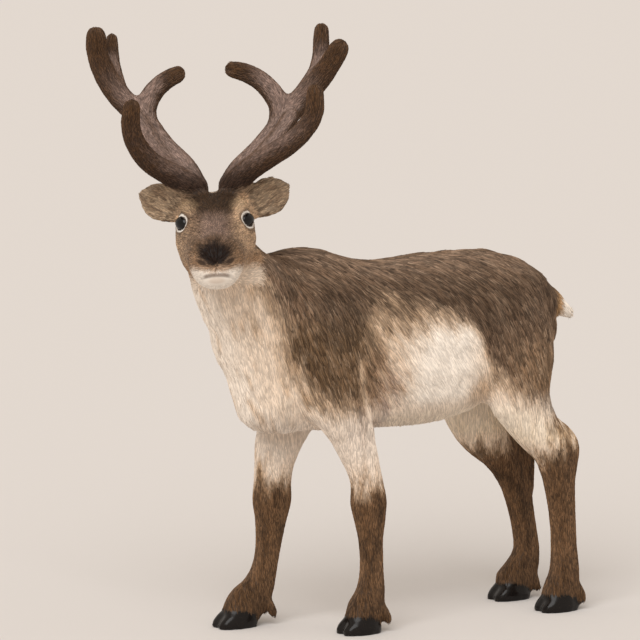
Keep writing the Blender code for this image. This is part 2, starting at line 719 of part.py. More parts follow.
def build_reindeer():
    frame = head_frame()
    mesh = bmesh.new()
    add_trunk_and_neck(mesh)
    add_tail(mesh)
    add_head(mesh, frame)
    add_ears(mesh, frame)
    add_antler(mesh, frame, RIGHT_ANTLER, RIGHT_TWIN_THICKNESS)
    add_antler(mesh, frame, LEFT_ANTLER, LEFT_TWIN_THICKNESS)
    add_legs(mesh)
    for foot in FEET:
        add_foot(mesh, foot)
    body = as_object("reindeer", mesh)
    fuse(body)
    carve_eyes(body, frame)
    carve_nostrils(body, frame)
    carve_mouth(body, frame)
    carve_ears(body, frame)
    carve_clefts(body)
    reskin(body, CARVED_GRID)
    thin_out(body)
    flatten_soles(body)
    centre_and_scale(body)
    body.data.materials.clear()
    body.data.materials.append(coat_material())
    body.data.shade_smooth()
    return body


for leftover in list(bpy.data.objects):
    bpy.data.objects.remove(leftover)
build_reindeer()
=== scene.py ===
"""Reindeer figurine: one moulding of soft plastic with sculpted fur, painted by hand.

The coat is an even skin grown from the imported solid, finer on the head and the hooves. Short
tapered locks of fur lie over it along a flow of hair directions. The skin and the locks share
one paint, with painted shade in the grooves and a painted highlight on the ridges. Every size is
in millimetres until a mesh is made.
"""

import logging
import math
from dataclasses import dataclass, field
from enum import Enum

import bmesh
import bpy
import numpy as np
from mathutils import Matrix, Vector


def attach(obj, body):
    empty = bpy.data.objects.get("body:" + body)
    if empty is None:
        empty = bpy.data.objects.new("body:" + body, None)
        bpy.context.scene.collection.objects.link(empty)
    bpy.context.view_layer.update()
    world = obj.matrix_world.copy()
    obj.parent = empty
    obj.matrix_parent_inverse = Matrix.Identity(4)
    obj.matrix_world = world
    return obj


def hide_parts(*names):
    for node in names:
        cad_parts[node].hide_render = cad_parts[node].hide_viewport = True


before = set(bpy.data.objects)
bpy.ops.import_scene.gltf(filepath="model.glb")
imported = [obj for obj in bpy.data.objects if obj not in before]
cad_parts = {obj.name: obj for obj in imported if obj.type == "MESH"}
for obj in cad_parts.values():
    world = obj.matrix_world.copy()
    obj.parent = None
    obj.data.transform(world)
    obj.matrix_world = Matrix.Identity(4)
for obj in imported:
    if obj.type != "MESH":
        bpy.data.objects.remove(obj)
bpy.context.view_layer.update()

MM = 0.001
BODY = "root"
NODE = "reindeer"
PAINT = "paint"
ROUGHNESS = "paint_roughness"
TONE = "tone"
FLOW = "hair_flow"
LOCK_LENGTH = "lock_length"
LOCK_DENSITY = "lock_density"
BRIGHTNESS = "lock_brightness"
RIDGE = "lock_ridge"
OUTSIDE = "outside"

logging.basicConfig(level=logging.INFO, format="%(message)s")
LOG = logging.getLogger("reindeer")

Array = np.ndarray
Paints = dict[str, np.ndarray]


def linear(hex_colour: str) -> Array:
    """Turns an sRGB hex colour into linear light.

    Args:
        hex_colour: the colour as "#rrggbb".

    Returns:
        Red, green and blue from 0 to 1.
    """
    value = np.array([int(hex_colour[i:i + 2], 16) for i in (1, 3, 5)]) / 255
    return np.where(value <= 0.04045, value / 12.92, ((value + 0.055) / 1.055) ** 2.4)


def ramp(value: Array, low: float, high: float) -> Array:
    """Smooth step from 0 at low to 1 at high; low may be the larger one."""
    t = np.clip((value - low) / (high - low), 0.0, 1.0)
    return t * t * (3.0 - 2.0 * t)


def unit(vectors: Array) -> Array:
    """Rows scaled to length one."""
    return vectors / np.maximum(np.linalg.norm(vectors, axis=-1, keepdims=True), 1e-9)


def over(under: Array, colour: Array, share: Array) -> Array:
    """Lays a colour over the paint with that coverage per point."""
    return under + (colour - under) * share[:, None]


def inside_distance(across: Array, up: Array, outline: tuple) -> Array:
    """Distance to a closed outline in a plane, positive inside it.

    Args:
        across: first coordinate of each point.
        up: second coordinate of each point.
        outline: corners of the outline, in order.

    Returns:
        The signed distance of each point.
    """
    best = np.full(len(across), 1e9)
    inside = np.zeros(len(across), bool)
    for (ay, az), (by, bz) in zip(outline, outline[1:] + outline[:1]):
        dy, dz = by - ay, bz - az
        share = np.clip(((across - ay) * dy + (up - az) * dz) / (dy * dy + dz * dz), 0.0, 1.0)
        best = np.minimum(best, np.hypot(across - ay - share * dy, up - az - share * dz))
        if az != bz:
            crossing = (az > up) != (bz > up)
            inside ^= crossing & (across < ay + (up - az) / (bz - az) * dy)
    return np.where(inside, best, -best)


def line_place(points: Array, line: tuple) -> tuple[Array, Array, Array]:
    """Nearest place on a line of straight runs.

    Args:
        points: the points to place.
        line: corners of the line.

    Returns:
        Distance to the line, direction of the line there, and share of its length.
    """
    corners = np.array(line, dtype=np.float32)
    runs = np.diff(corners, axis=0)
    lengths = np.linalg.norm(runs, axis=1)
    ends = np.concatenate([[0.0], np.cumsum(lengths)]) / lengths.sum()
    best = np.full(len(points), 1e9, np.float32)
    heading = np.zeros_like(points)
    along = np.zeros(len(points), np.float32)
    for k, (start, run) in enumerate(zip(corners, runs)):
        share = np.clip((points - start) @ run / (run @ run), 0.0, 1.0)
        gap = np.linalg.norm(points - start - share[:, None] * run, axis=1)
        near = gap < best
        best[near] = gap[near]
        heading[near] = run / lengths[k]
        along[near] = (ends[k] + share * (ends[k + 1] - ends[k]))[near]
    return best, heading, along


class Side(Enum):
    """The animal's two sides, with the sign of x."""

    LEFT = 1
    RIGHT = -1


class Region(Enum):
    """The parts of the coat that are kept as meshes of their own, and whether they are fine."""

    ANTLERS = ("antlers", False)
    HEAD = ("head", True)
    HOOVES = ("hooves", True)
    FOREHAND = ("forehand", False)
    BARREL = ("barrel", False)
    HINDQUARTERS = ("hindquarters", False)

    @property
    def title(self) -> str:
        """Name of the region's mesh."""
        return self.value[0]

    @property
    def fine(self) -> bool:
        """Whether its skin is divided once more."""
        return self.value[1]


@dataclass(frozen=True)
class Stance:
    """Where the trunk's own frame lies: x to the left, y backwards, from under the girth."""

    shift: tuple[float, float, float] = (3.6311, -16.6962, 0.0)

    def local(self, points: Array) -> Array:
        """Points of the part in the trunk's frame."""
        return points + np.array(self.shift, dtype=np.float32)


@dataclass(frozen=True)
class HeadPlace:
    """Where the head's frame lies: x to its left, y backwards, z up, from between the eyes."""

    origin: tuple[float, float, float] = (4.3689, -37.3038, 92.4)
    turn: float = 62.0
    roll: float = 3.0

    def rotation(self) -> Array:
        """Columns are the head's axes in the part's frame."""
        turned = (Matrix.Rotation(math.radians(self.turn), 3, "Z")
                  @ Matrix.Rotation(math.radians(-self.roll), 3, "Y"))
        return np.array(turned, dtype=np.float32)

    def local(self, points: Array) -> Array:
        """Points of the part in the head's frame."""
        return (points - np.array(self.origin, dtype=np.float32)) @ self.rotation()

    def outward(self, vectors: Array) -> Array:
        """Directions of the head's frame in the part's frame."""
        return vectors @ self.rotation().T

    def place(self, point: tuple[float, float, float]) -> Vector:
        """One point of the head's frame in the part's frame."""
        moved = self.outward(np.array(point, dtype=np.float32)) + np.array(self.origin)
        return Vector([float(v) for v in moved])


@dataclass(frozen=True)
class AntlerLines:
    """Centre lines of one antler's tines in the head's frame."""

    brow: tuple
    beam: tuple
    inner: tuple
    twin: tuple

    def lines(self) -> tuple:
        """All four lines."""
        return self.brow, self.beam, self.inner, self.twin


RIGHT_ANTLER = AntlerLines(
    brow=((-4.3, 4.8, 6.6), (-8.6, 2.4, 10.0), (-13.1, -1.2, 13.5), (-15.8, -4.6, 18.0),
          (-16.5, -6.6, 22.2), (-16.0, -8.0, 25.7)),
    beam=((-4.0, 6.2, 6.6), (-6.3, 9.2, 10.8), (-10.2, 12.6, 14.8), (-13.2, 14.6, 19.2),
          (-15.9, 15.4, 22.8), (-19.6, 15.6, 27.0), (-22.2, 15.2, 31.6), (-23.5, 14.4, 36.6),
          (-23.5, 13.3, 40.0)),
    inner=((-13.9, 14.9, 20.0), (-13.7, 15.8, 24.0), (-12.0, 16.6, 27.0), (-9.4, 16.9, 29.3),
           (-6.5, 16.5, 30.7)),
    twin=((-18.9, 16.2, 26.6), (-20.0, 17.7, 31.0), (-20.4, 18.6, 34.8), (-20.3, 19.0, 39.0)),
)
LEFT_ANTLER = AntlerLines(
    brow=((4.3, 4.8, 6.6), (7.1, 2.4, 9.8), (11.6, -1.5, 12.9), (16.2, -5.2, 15.7),
          (20.0, -7.5, 19.0), (22.3, -8.5, 22.6), (22.7, -9.1, 26.9)),
    beam=((4.0, 6.2, 6.6), (6.2, 9.2, 9.6), (10.2, 12.2, 13.0), (14.2, 14.0, 17.2),
          (17.0, 14.9, 21.0), (20.6, 14.8, 24.6), (24.2, 14.3, 28.2), (27.0, 13.2, 32.0),
          (28.6, 12.4, 34.6)),
    inner=((14.8, 14.4, 17.8), (15.2, 15.2, 22.4), (13.4, 16.2, 26.1), (10.7, 16.5, 28.8),
           (7.8, 16.3, 30.4), (5.5, 16.0, 31.1)),
    twin=((21.2, 15.6, 25.8), (23.5, 16.9, 28.9), (24.6, 17.9, 32.5), (25.1, 18.4, 38.4)),
)


INWARD_PUSH = 0.5
OUTWARD_PUSH = -0.52
SOLE_HEIGHT = 0.3


@dataclass
class Skin:
    """A fine skin of quads around the solid, with what the fur and the paint need of it."""

    points: Array
    quads: Array
    normals: Array = field(init=False)
    neighbours: Array = field(init=False)

    def __post_init__(self) -> None:
        """Works out the normals and the table of neighbours."""
        self.normals = self.surface_normals()
        self.neighbours = self.neighbour_table()

    @classmethod
    def around(cls, node: str, grid: float, passes: int) -> "Skin":
        """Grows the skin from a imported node.

        Args:
            node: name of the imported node.
            grid: size of the skin's cells in millimetres.
            passes: rounds of smoothing that take the solid's facets away.

        Returns:
            The skin, in millimetres.
        """
        source = bmesh.new()
        source.from_mesh(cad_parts[node].data)
        bmesh.ops.remove_doubles(source, verts=source.verts, dist=1e-6)
        data = bpy.data.meshes.new("skin")
        source.to_mesh(data)
        source.free()
        obj = bpy.data.objects.new("skin", data)
        bpy.context.scene.collection.objects.link(obj)
        remesh = obj.modifiers.new("even_cells", "REMESH")
        remesh.mode = "VOXEL"
        remesh.voxel_size = grid * MM
        points, quads = cls.arrays(cls.evaluated(obj))
        bpy.data.objects.remove(obj)
        return cls(cls.rounded(points, quads, passes), quads)

    def part(self, chosen: Array) -> "Skin":
        """The chosen quads as a skin of their own."""
        used, corners = np.unique(self.quads[chosen], return_inverse=True)
        return Skin(self.points[used], corners.reshape(-1, 4).astype(np.int32))

    def widened(self, chosen: Array) -> Array:
        """Adds the quads that touch the chosen ones.

        Args:
            chosen: which quads are chosen.

        Returns:
            Which quads are chosen now.
        """
        touched = np.zeros(len(self.points), bool)
        touched[self.quads[chosen]] = True
        return touched[self.quads].any(axis=1)

    def finer(self) -> "Skin":
        """Divides each quad into four, rounded.

        Returns:
            The finer skin.
        """
        mesh = bpy.data.meshes.new("finer")
        mesh.from_pydata((self.points * MM).tolist(), [], self.quads.tolist())
        obj = bpy.data.objects.new("finer", mesh)
        bpy.context.scene.collection.objects.link(obj)
        divide = obj.modifiers.new("finer", "SUBSURF")
        divide.levels = divide.render_levels = 1
        points, quads = self.arrays(self.evaluated(obj))
        bpy.data.objects.remove(obj)
        return Skin(points.astype(np.float32), quads)

    @staticmethod
    def evaluated(obj: bpy.types.Object) -> bpy.types.Mesh:
        """The mesh that the object's modifiers make."""
        depsgraph = bpy.context.evaluated_depsgraph_get()
        return bpy.data.meshes.new_from_object(obj.evaluated_get(depsgraph))

    @staticmethod
    def arrays(mesh: bpy.types.Mesh) -> tuple[Array, Array]:
        """Reads a mesh that has only quads.

        Args:
            mesh: the mesh, in metres.

        Returns:
            Its points in millimetres and its quads.
        """
        points = np.empty(len(mesh.vertices) * 3, np.float32)
        mesh.vertices.foreach_get("co", points)
        quads = np.empty(len(mesh.polygons) * 4, np.int32)
        mesh.polygons.foreach_get("vertices", quads)
        return points.reshape(-1, 3) / MM, quads.reshape(-1, 4)

    @staticmethod
    def rounded(points: Array, quads: Array, passes: int) -> Array:
        """Smooths without shrinking, by turns inwards and outwards, and keeps the soles flat.

        Args:
            points: the points to smooth.
            quads: the quads between them.
            passes: number of rounds.

        Returns:
            The smoothed points.
        """
        count = len(points)
        start = quads.ravel()
        end = np.roll(quads, -1, axis=1).ravel()
        degree = np.bincount(start, minlength=count)[:, None]
        sole = points[:, 2] < SOLE_HEIGHT
        for _ in range(passes):
            for push in (INWARD_PUSH, OUTWARD_PUSH):
                total = np.stack([np.bincount(start, points[end, axis], count)
                                  for axis in range(3)], axis=1)
                points = points + push * (total / degree - points)
        points[sole, 2] = 0.0
        points[:, 2] = np.maximum(points[:, 2], 0.0)
        return points.astype(np.float32)

    def surface_normals(self) -> Array:
        """Works out which way the skin faces.

        Returns:
            Mean of the quads' normals around each point.
        """
        a, b, c, d = (self.points[self.quads[:, k]] for k in range(4))
        facing = np.cross(c - a, d - b)
        total = np.zeros_like(self.points)
        for corner in range(4):
            for axis in range(3):
                total[:, axis] += np.bincount(self.quads[:, corner], facing[:, axis],
                                              len(self.points))
        return unit(total)

    def neighbour_table(self) -> Array:
        """Lists each point's neighbours, also across a quad's diagonal.

        Returns:
            For each point its own number and its neighbours', filled up with its own.
        """
        count = len(self.points)
        pairs = []
        for first, second in ((0, 1), (1, 2), (2, 3), (3, 0), (0, 2), (1, 3)):
            pairs.append(self.quads[:, (first, second)])
            pairs.append(self.quads[:, (second, first)])
        keys = np.unique(np.concatenate([p[:, 0].astype(np.int64) * count + p[:, 1]
                                         for p in pairs]))
        origin, other = keys // count, keys % count
        degree = np.bincount(origin, minlength=count)
        first = np.concatenate([[0], np.cumsum(degree)[:-1]])
        table = np.repeat(np.arange(count, dtype=np.int32)[:, None], degree.max() + 1, axis=1)
        table[origin, np.arange(len(keys)) - first[origin] + 1] = other
        return table

    def evened(self, value: Array, passes: int) -> Array:
        """Averages a value over the neighbours.

        Args:
            value: one value for each point.
            passes: number of rounds.

        Returns:
            The averaged values.
        """
        for _ in range(passes):
            value = value[self.neighbours].mean(axis=1)
        return value


@dataclass
class Comb:
    """Draws noise out along the hair, the way a modelling tool strokes soft clay."""

    skin: Skin
    flow: Array
    step: float = 0.45
    steps: int = 5
    ahead: list = field(init=False)
    behind: list = field(init=False)

    def __post_init__(self) -> None:
        """Walks from every point along the hair, both ways."""
        self.ahead = self.walk(self.step)
        self.behind = self.walk(-self.step)

    def walk(self, step: float) -> list:
        """Points of the skin met at each step from every point.

        Args:
            step: length of a step in millimetres; negative walks against the hair.

        Returns:
            One array of point numbers for each step.
        """
        points, table = self.skin.points, self.skin.neighbours
        rows = np.arange(len(points))
        here = rows
        place = points.copy()
        met = []
        for _ in range(self.steps):
            place = place + step * self.flow[here]
            options = table[here]
            gap = points[options] - place[:, None, :]
            nearest = np.einsum("ijk,ijk->ij", gap, gap).argmin(axis=1)
            here = options[rows, nearest]
            normal = self.skin.normals[here]
            lift = np.einsum("ij,ij->i", points[here] - place, normal)
            place = place + lift[:, None] * normal
            met.append(here)
        return met

    def strokes(self, seed: int, softness: int, repeats: int) -> Array:
        """Noise combed into strokes, with mean 0 and spread 1.

        Args:
            seed: start of the random numbers.
            softness: rounds of averaging that set a stroke's width.
            repeats: rounds of combing that set a stroke's length.

        Returns:
            One value for each point of the skin.
        """
        value = np.random.default_rng(seed).normal(size=len(self.flow)).astype(np.float32)
        value = self.skin.evened(value, softness)
        for _ in range(repeats):
            total = value.copy()
            for k, (after, before) in enumerate(zip(self.ahead, self.behind)):
                weight = 1.0 - (k + 1) / (self.steps + 1)
                total += weight * (value[after] + value[before])
            value = total
        return (value - value.mean()) / value.std()


@dataclass(frozen=True)
class CoatColours:
    """Acrylic paints of the coat, as sRGB hex."""

    cream: str = "#e2d0bd"
    white: str = "#eee4d8"
    warm_belly: str = "#e0cfb3"
    ochre: str = "#ad8a62"
    mauve: str = "#a18f8a"
    saddle: str = "#7d6551"
    saddle_dark: str = "#3c2d20"
    saddle_light: str = "#a8917a"
    shoulder: str = "#745b42"
    leg: str = "#6e5239"
    leg_dark: str = "#3f2d1d"
    face: str = "#866d58"
    cheek: str = "#ceae8e"
    brow: str = "#b59a78"
    forehead: str = "#3f2e20"
    bridge: str = "#8a7368"
    nose: str = "#241812"
    muzzle_ochre: str = "#a27f5e"
    mouth: str = "#5b4433"
    ear: str = "#8d7660"
    ear_cup: str = "#b39c82"
    antler: str = "#4f3928"
    antler_root: str = "#3c2c23"
    # A painted highlight on the antlers.
    antler_sheen: str = "#a38b80"
    antler_tip: str = "#573e28"
    eye_rim: str = "#ece4da"
    hoof: str = "#15110f"


@dataclass(frozen=True)
class Markings:
    """Outlines and edges of the colour fields, in millimetres.

    The saddle's outline is (back, up) in the trunk's frame, and the nose pad's is (left, up) in
    the head's. A nostril is an oval that slants up and outwards.
    """

    saddle: tuple = ((-60.0, 120.0), (-47.5, 94.0), (-45.0, 82.0), (-41.6, 77.6), (-39.6, 73.4),
                     (-38.0, 68.0), (-37.0, 63.4), (-34.0, 57.5), (-31.0, 54.0), (-28.0, 52.0),
                     (-23.0, 51.4), (-20.0, 54.6), (-18.3, 61.0), (-18.6, 68.0), (-16.0, 71.2),
                     (-11.0, 71.6), (1.5, 70.8), (8.0, 67.0), (9.8, 64.0), (11.2, 60.0),
                     (15.5, 55.0), (21.7, 50.0), (27.0, 46.0), (31.0, 42.0), (60.0, 38.0),
                     (60.0, 120.0))
    nose: tuple = ((-3.5, -5.8), (-2.9, -3.9), (0.0, -3.0), (2.9, -3.9), (3.5, -5.8),
                   (1.8, -7.2), (-1.8, -7.2))
    nostril_slant: tuple[float, float] = (0.86, 0.5)
    nostril_half: tuple[float, float] = (1.15, 0.6)
    knee_height: float = 32.0
    hock_height: float = 35.5
    coronet_height: float = 4.1


FEET = ((9.6, -19.8), (-9.8, -40.4), (8.6, 32.0), (-8.2, 29.8))
EYE_POINT = (7.25, -3.0, 0.2)
EYE_OUT = (0.76, -0.64, 0.1)
EYE_UP = (0.18, 0.22, 0.96)
EYE_HALF = (2.0, 1.5)
NOSTRIL = (3.0, -6.6)
EAR_ROOT = (5.5, 5.4, 1.3)
EAR_SHIFT = 0.2
EAR_AXIS = (0.9, 0.12, 0.42)


@dataclass
class Anatomy:
    """Where every point of a skin lies on the animal, and which way the hair lies there."""

    skin: Skin
    head: HeadPlace = field(default_factory=HeadPlace)
    stance: Stance = field(default_factory=Stance)
    markings: Markings = field(default_factory=Markings)

    def __post_init__(self) -> None:
        """Places the points in the head's and the trunk's frames."""
        self.at_head = self.head.local(self.skin.points)
        self.at_body = self.stance.local(self.skin.points)
        self.side = np.sign(self.at_body[:, 0] + 1e-6)
        self.find_ears()
        self.find_antlers()
        hx, hy, hz = self.at_head.T
        skull = ramp(hy + 0.25 * hz, 9.5, 6.5) * ramp(hz, -15.5, -13.5)
        skull *= ramp(np.abs(hx), 10.5, 9.0)
        self.is_head = np.maximum(skull, np.maximum(self.is_antler, self.is_ear))
        self.eye_reach = self.reach_of_eye()
        self.is_hoof = self.horn()
        self.flow = self.hair_flow()

    def find_ears(self) -> None:
        """Marks the ears and measures how far along each one a point lies."""
        count = len(self.skin.points)
        ear_side = np.sign(self.at_head[:, 0] + 1e-6)
        root = np.stack([ear_side * EAR_ROOT[0] + EAR_SHIFT, np.full(count, EAR_ROOT[1]),
                         np.full(count, EAR_ROOT[2])], axis=1)
        axis = unit(np.array(EAR_AXIS))
        self.ear_axes = np.stack([ear_side * axis[0], np.full(count, axis[1]),
                                  np.full(count, axis[2])], axis=1).astype(np.float32)
        offset = self.at_head - root
        self.ear_along = np.einsum("ij,ij->i", offset, self.ear_axes)
        gap = np.linalg.norm(offset - self.ear_along[:, None] * self.ear_axes, axis=1)
        self.is_ear = (ramp(self.ear_along, 2.0, 3.4) * ramp(gap, 5.8, 5.0)
                       * ramp(self.ear_along, 15.0, 14.0))

    def find_antlers(self) -> None:
        """Marks the antlers, with the direction and the share of the nearest tine."""
        points = self.at_head
        count = len(points)
        self.antler_gap = np.full(count, 99.0, np.float32)
        self.antler_heading = np.zeros_like(points)
        self.antler_share = np.zeros(count, np.float32)
        high = np.flatnonzero(points[:, 2] > 3.0)
        for antler in (LEFT_ANTLER, RIGHT_ANTLER):
            for line in antler.lines():
                gap, heading, share = line_place(points[high], line)
                near = gap < self.antler_gap[high]
                chosen = high[near]
                self.antler_gap[chosen] = gap[near]
                self.antler_heading[chosen] = heading[near]
                self.antler_share[chosen] = share[near]
        self.is_antler = (ramp(points[:, 2], 5.4, 7.4) * ramp(self.antler_gap, 9.5, 8.5)
                          * (1.0 - self.is_ear))

    def horn(self) -> Array:
        """Marks the black horn: the toes under the coronet and the dewclaws' tips.

        Returns:
            Share of the horn at every point.
        """
        x, y, z = self.at_body.T
        edge = np.full(len(z), self.markings.coronet_height)
        for foot_x, foot_y in FEET:
            here = (np.abs(x - foot_x) < 8.0) & (np.abs(y - foot_y) < 12.0)
            heel = ramp(y - foot_y, 1.0, 3.6)
            claw = ramp(y - foot_y, 4.0, 4.6)
            level = self.markings.coronet_height - 0.9 * heel
            edge = np.where(here, level + (2.0 - level) * claw, edge)
        return ramp(z, edge + 0.25, edge - 0.25)

    def reach_of_eye(self) -> Array:
        """Measures how near every point is to an eye.

        Returns:
            Distance from the nearer eye's middle, 1 on the edge of its opening.
        """
        side = np.sign(self.at_head[:, 0] + 1e-6)
        ones = np.ones_like(side)
        offset = self.at_head * np.stack([side, ones, ones], axis=1) - np.array(EYE_POINT)
        out = unit(np.array(EYE_OUT))
        up = unit(np.array(EYE_UP) - (np.array(EYE_UP) @ out) * out)
        reach = np.hypot(offset @ np.cross(up, out) / EYE_HALF[0], offset @ up / EYE_HALF[1])
        return np.where(np.abs(offset @ out) < 3.0, np.minimum(reach, 9.0), 9.0)

    def hair_flow(self) -> Array:
        """Combs the coat: back over the trunk, down the neck and limbs, and out along the tines.

        Returns:
            Direction that the hair lies in at every point, along the skin.
        """
        _, y, z = self.at_body.T
        normals = self.skin.normals
        count = len(y)
        side = self.side * ramp(np.abs(self.at_body[:, 0]), 0.0, 3.0)

        def lying(out: float, back: float, up: float) -> Array:
            """One direction for the whole skin, mirrored on the other side."""
            return unit(np.stack([out * side, np.full(count, back), np.full(count, up)], axis=1))

        flow = lying(0.5, 0.85, -0.6)
        flow = over(flow, lying(0.3, 0.62, -0.95), ramp(z, 78.0, 68.0))
        flow = over(flow, lying(0.2, 0.38, -1.0), ramp(y, 6.0, 14.0) * ramp(z, 74.0, 64.0))
        flow = over(flow, lying(0.2, 0.36, -1.0), ramp(y, -14.0, -22.0) * ramp(z, 78.0, 70.0))
        flow = over(flow, lying(0.12, 0.2, -1.0), ramp(y, -30.0, -38.0))
        flow = over(flow, lying(0.0, 0.12, -1.0), ramp(z, 54.0, 44.0))
        flow = over(flow, lying(0.0, 0.8, -0.65), self.is_tail())
        head_side = np.sign(self.at_head[:, 0]) * ramp(np.abs(self.at_head[:, 0]), 0.0, 2.0)
        face = np.stack([0.35 * head_side, np.full(count, 1.0), np.full(count, 0.05)], axis=1)
        flow = over(flow, self.head.outward(unit(face)), self.is_head)
        flow = over(flow, self.head.outward(self.ear_axes), self.is_ear)
        flow = over(flow, self.head.outward(self.antler_heading), self.is_antler)
        for _ in range(2):
            flow = flow - np.einsum("ij,ij->i", flow, normals)[:, None] * normals
            flow = flow[self.skin.neighbours].mean(axis=1)
        flow = flow - np.einsum("ij,ij->i", flow, normals)[:, None] * normals
        return unit(flow).astype(np.float32)

    def is_tail(self) -> Array:
        """Share of the tail at every point."""
        _, y, z = self.at_body.T
        return ramp(y, 35.2, 36.8) * ramp(z, 60.0, 62.5)

    def is_bare(self) -> Array:
        """Marks where no fur grows: hooves, eyes, nostrils and lips.

        Returns:
            Share of bare skin at every point.
        """
        hx, hy, hz = self.at_head.T
        front = ramp(hy, -13.0, -15.5)
        mouth = (front * ramp(np.abs(hx), 3.4, 2.8) * ramp(hz, -8.0, -8.9)
                 * ramp(hz, -12.2, -11.2))
        nostril = np.hypot(np.abs(hx) - NOSTRIL[0], (hz - NOSTRIL[1]) / 0.75)
        bare = np.maximum(ramp(nostril, 1.3, 1.0) * front, mouth) * self.is_head
        bare = np.maximum(bare, ramp(self.eye_reach, 1.75, 1.5))
        return np.maximum(bare, self.is_hoof)

    def lock_lengths(self) -> Array:
        """Sets the locks' lengths: long on the trunk, short on the limbs, head and antlers.

        Returns:
            Length of the locks at every point, in millimetres.
        """
        z = self.at_body[:, 2]
        length = 2.9 - 1.2 * ramp(z, 50.0, 36.0)
        length = length + (1.15 - length) * self.is_head
        length = length + (1.35 - length) * self.is_antler
        return length + (1.4 - length) * self.is_ear

    def region_of_quads(self) -> Array:
        """Parts the coat into its regions.

        Returns:
            Number of the region that each quad belongs to.
        """
        corner = self.skin.quads[:, 0]
        hz = self.at_head[corner, 2]
        y, z = self.at_body[corner, 1], self.at_body[corner, 2]
        low = ramp(z, 56.0, 48.0)
        antler = (hz > 7.0) & (self.is_antler[corner] > 0.5)
        upper = (self.is_head[corner] > 0.5) | (z > 86.5)
        fore = np.where(z < 46.0, y < 2.0, y < -18.0 + 10.0 * low)
        return np.select([antler, upper, z < 7.0, fore, y < 12.0 - 4.0 * low],
                         [0, 1, 2, 3, 4], 5)


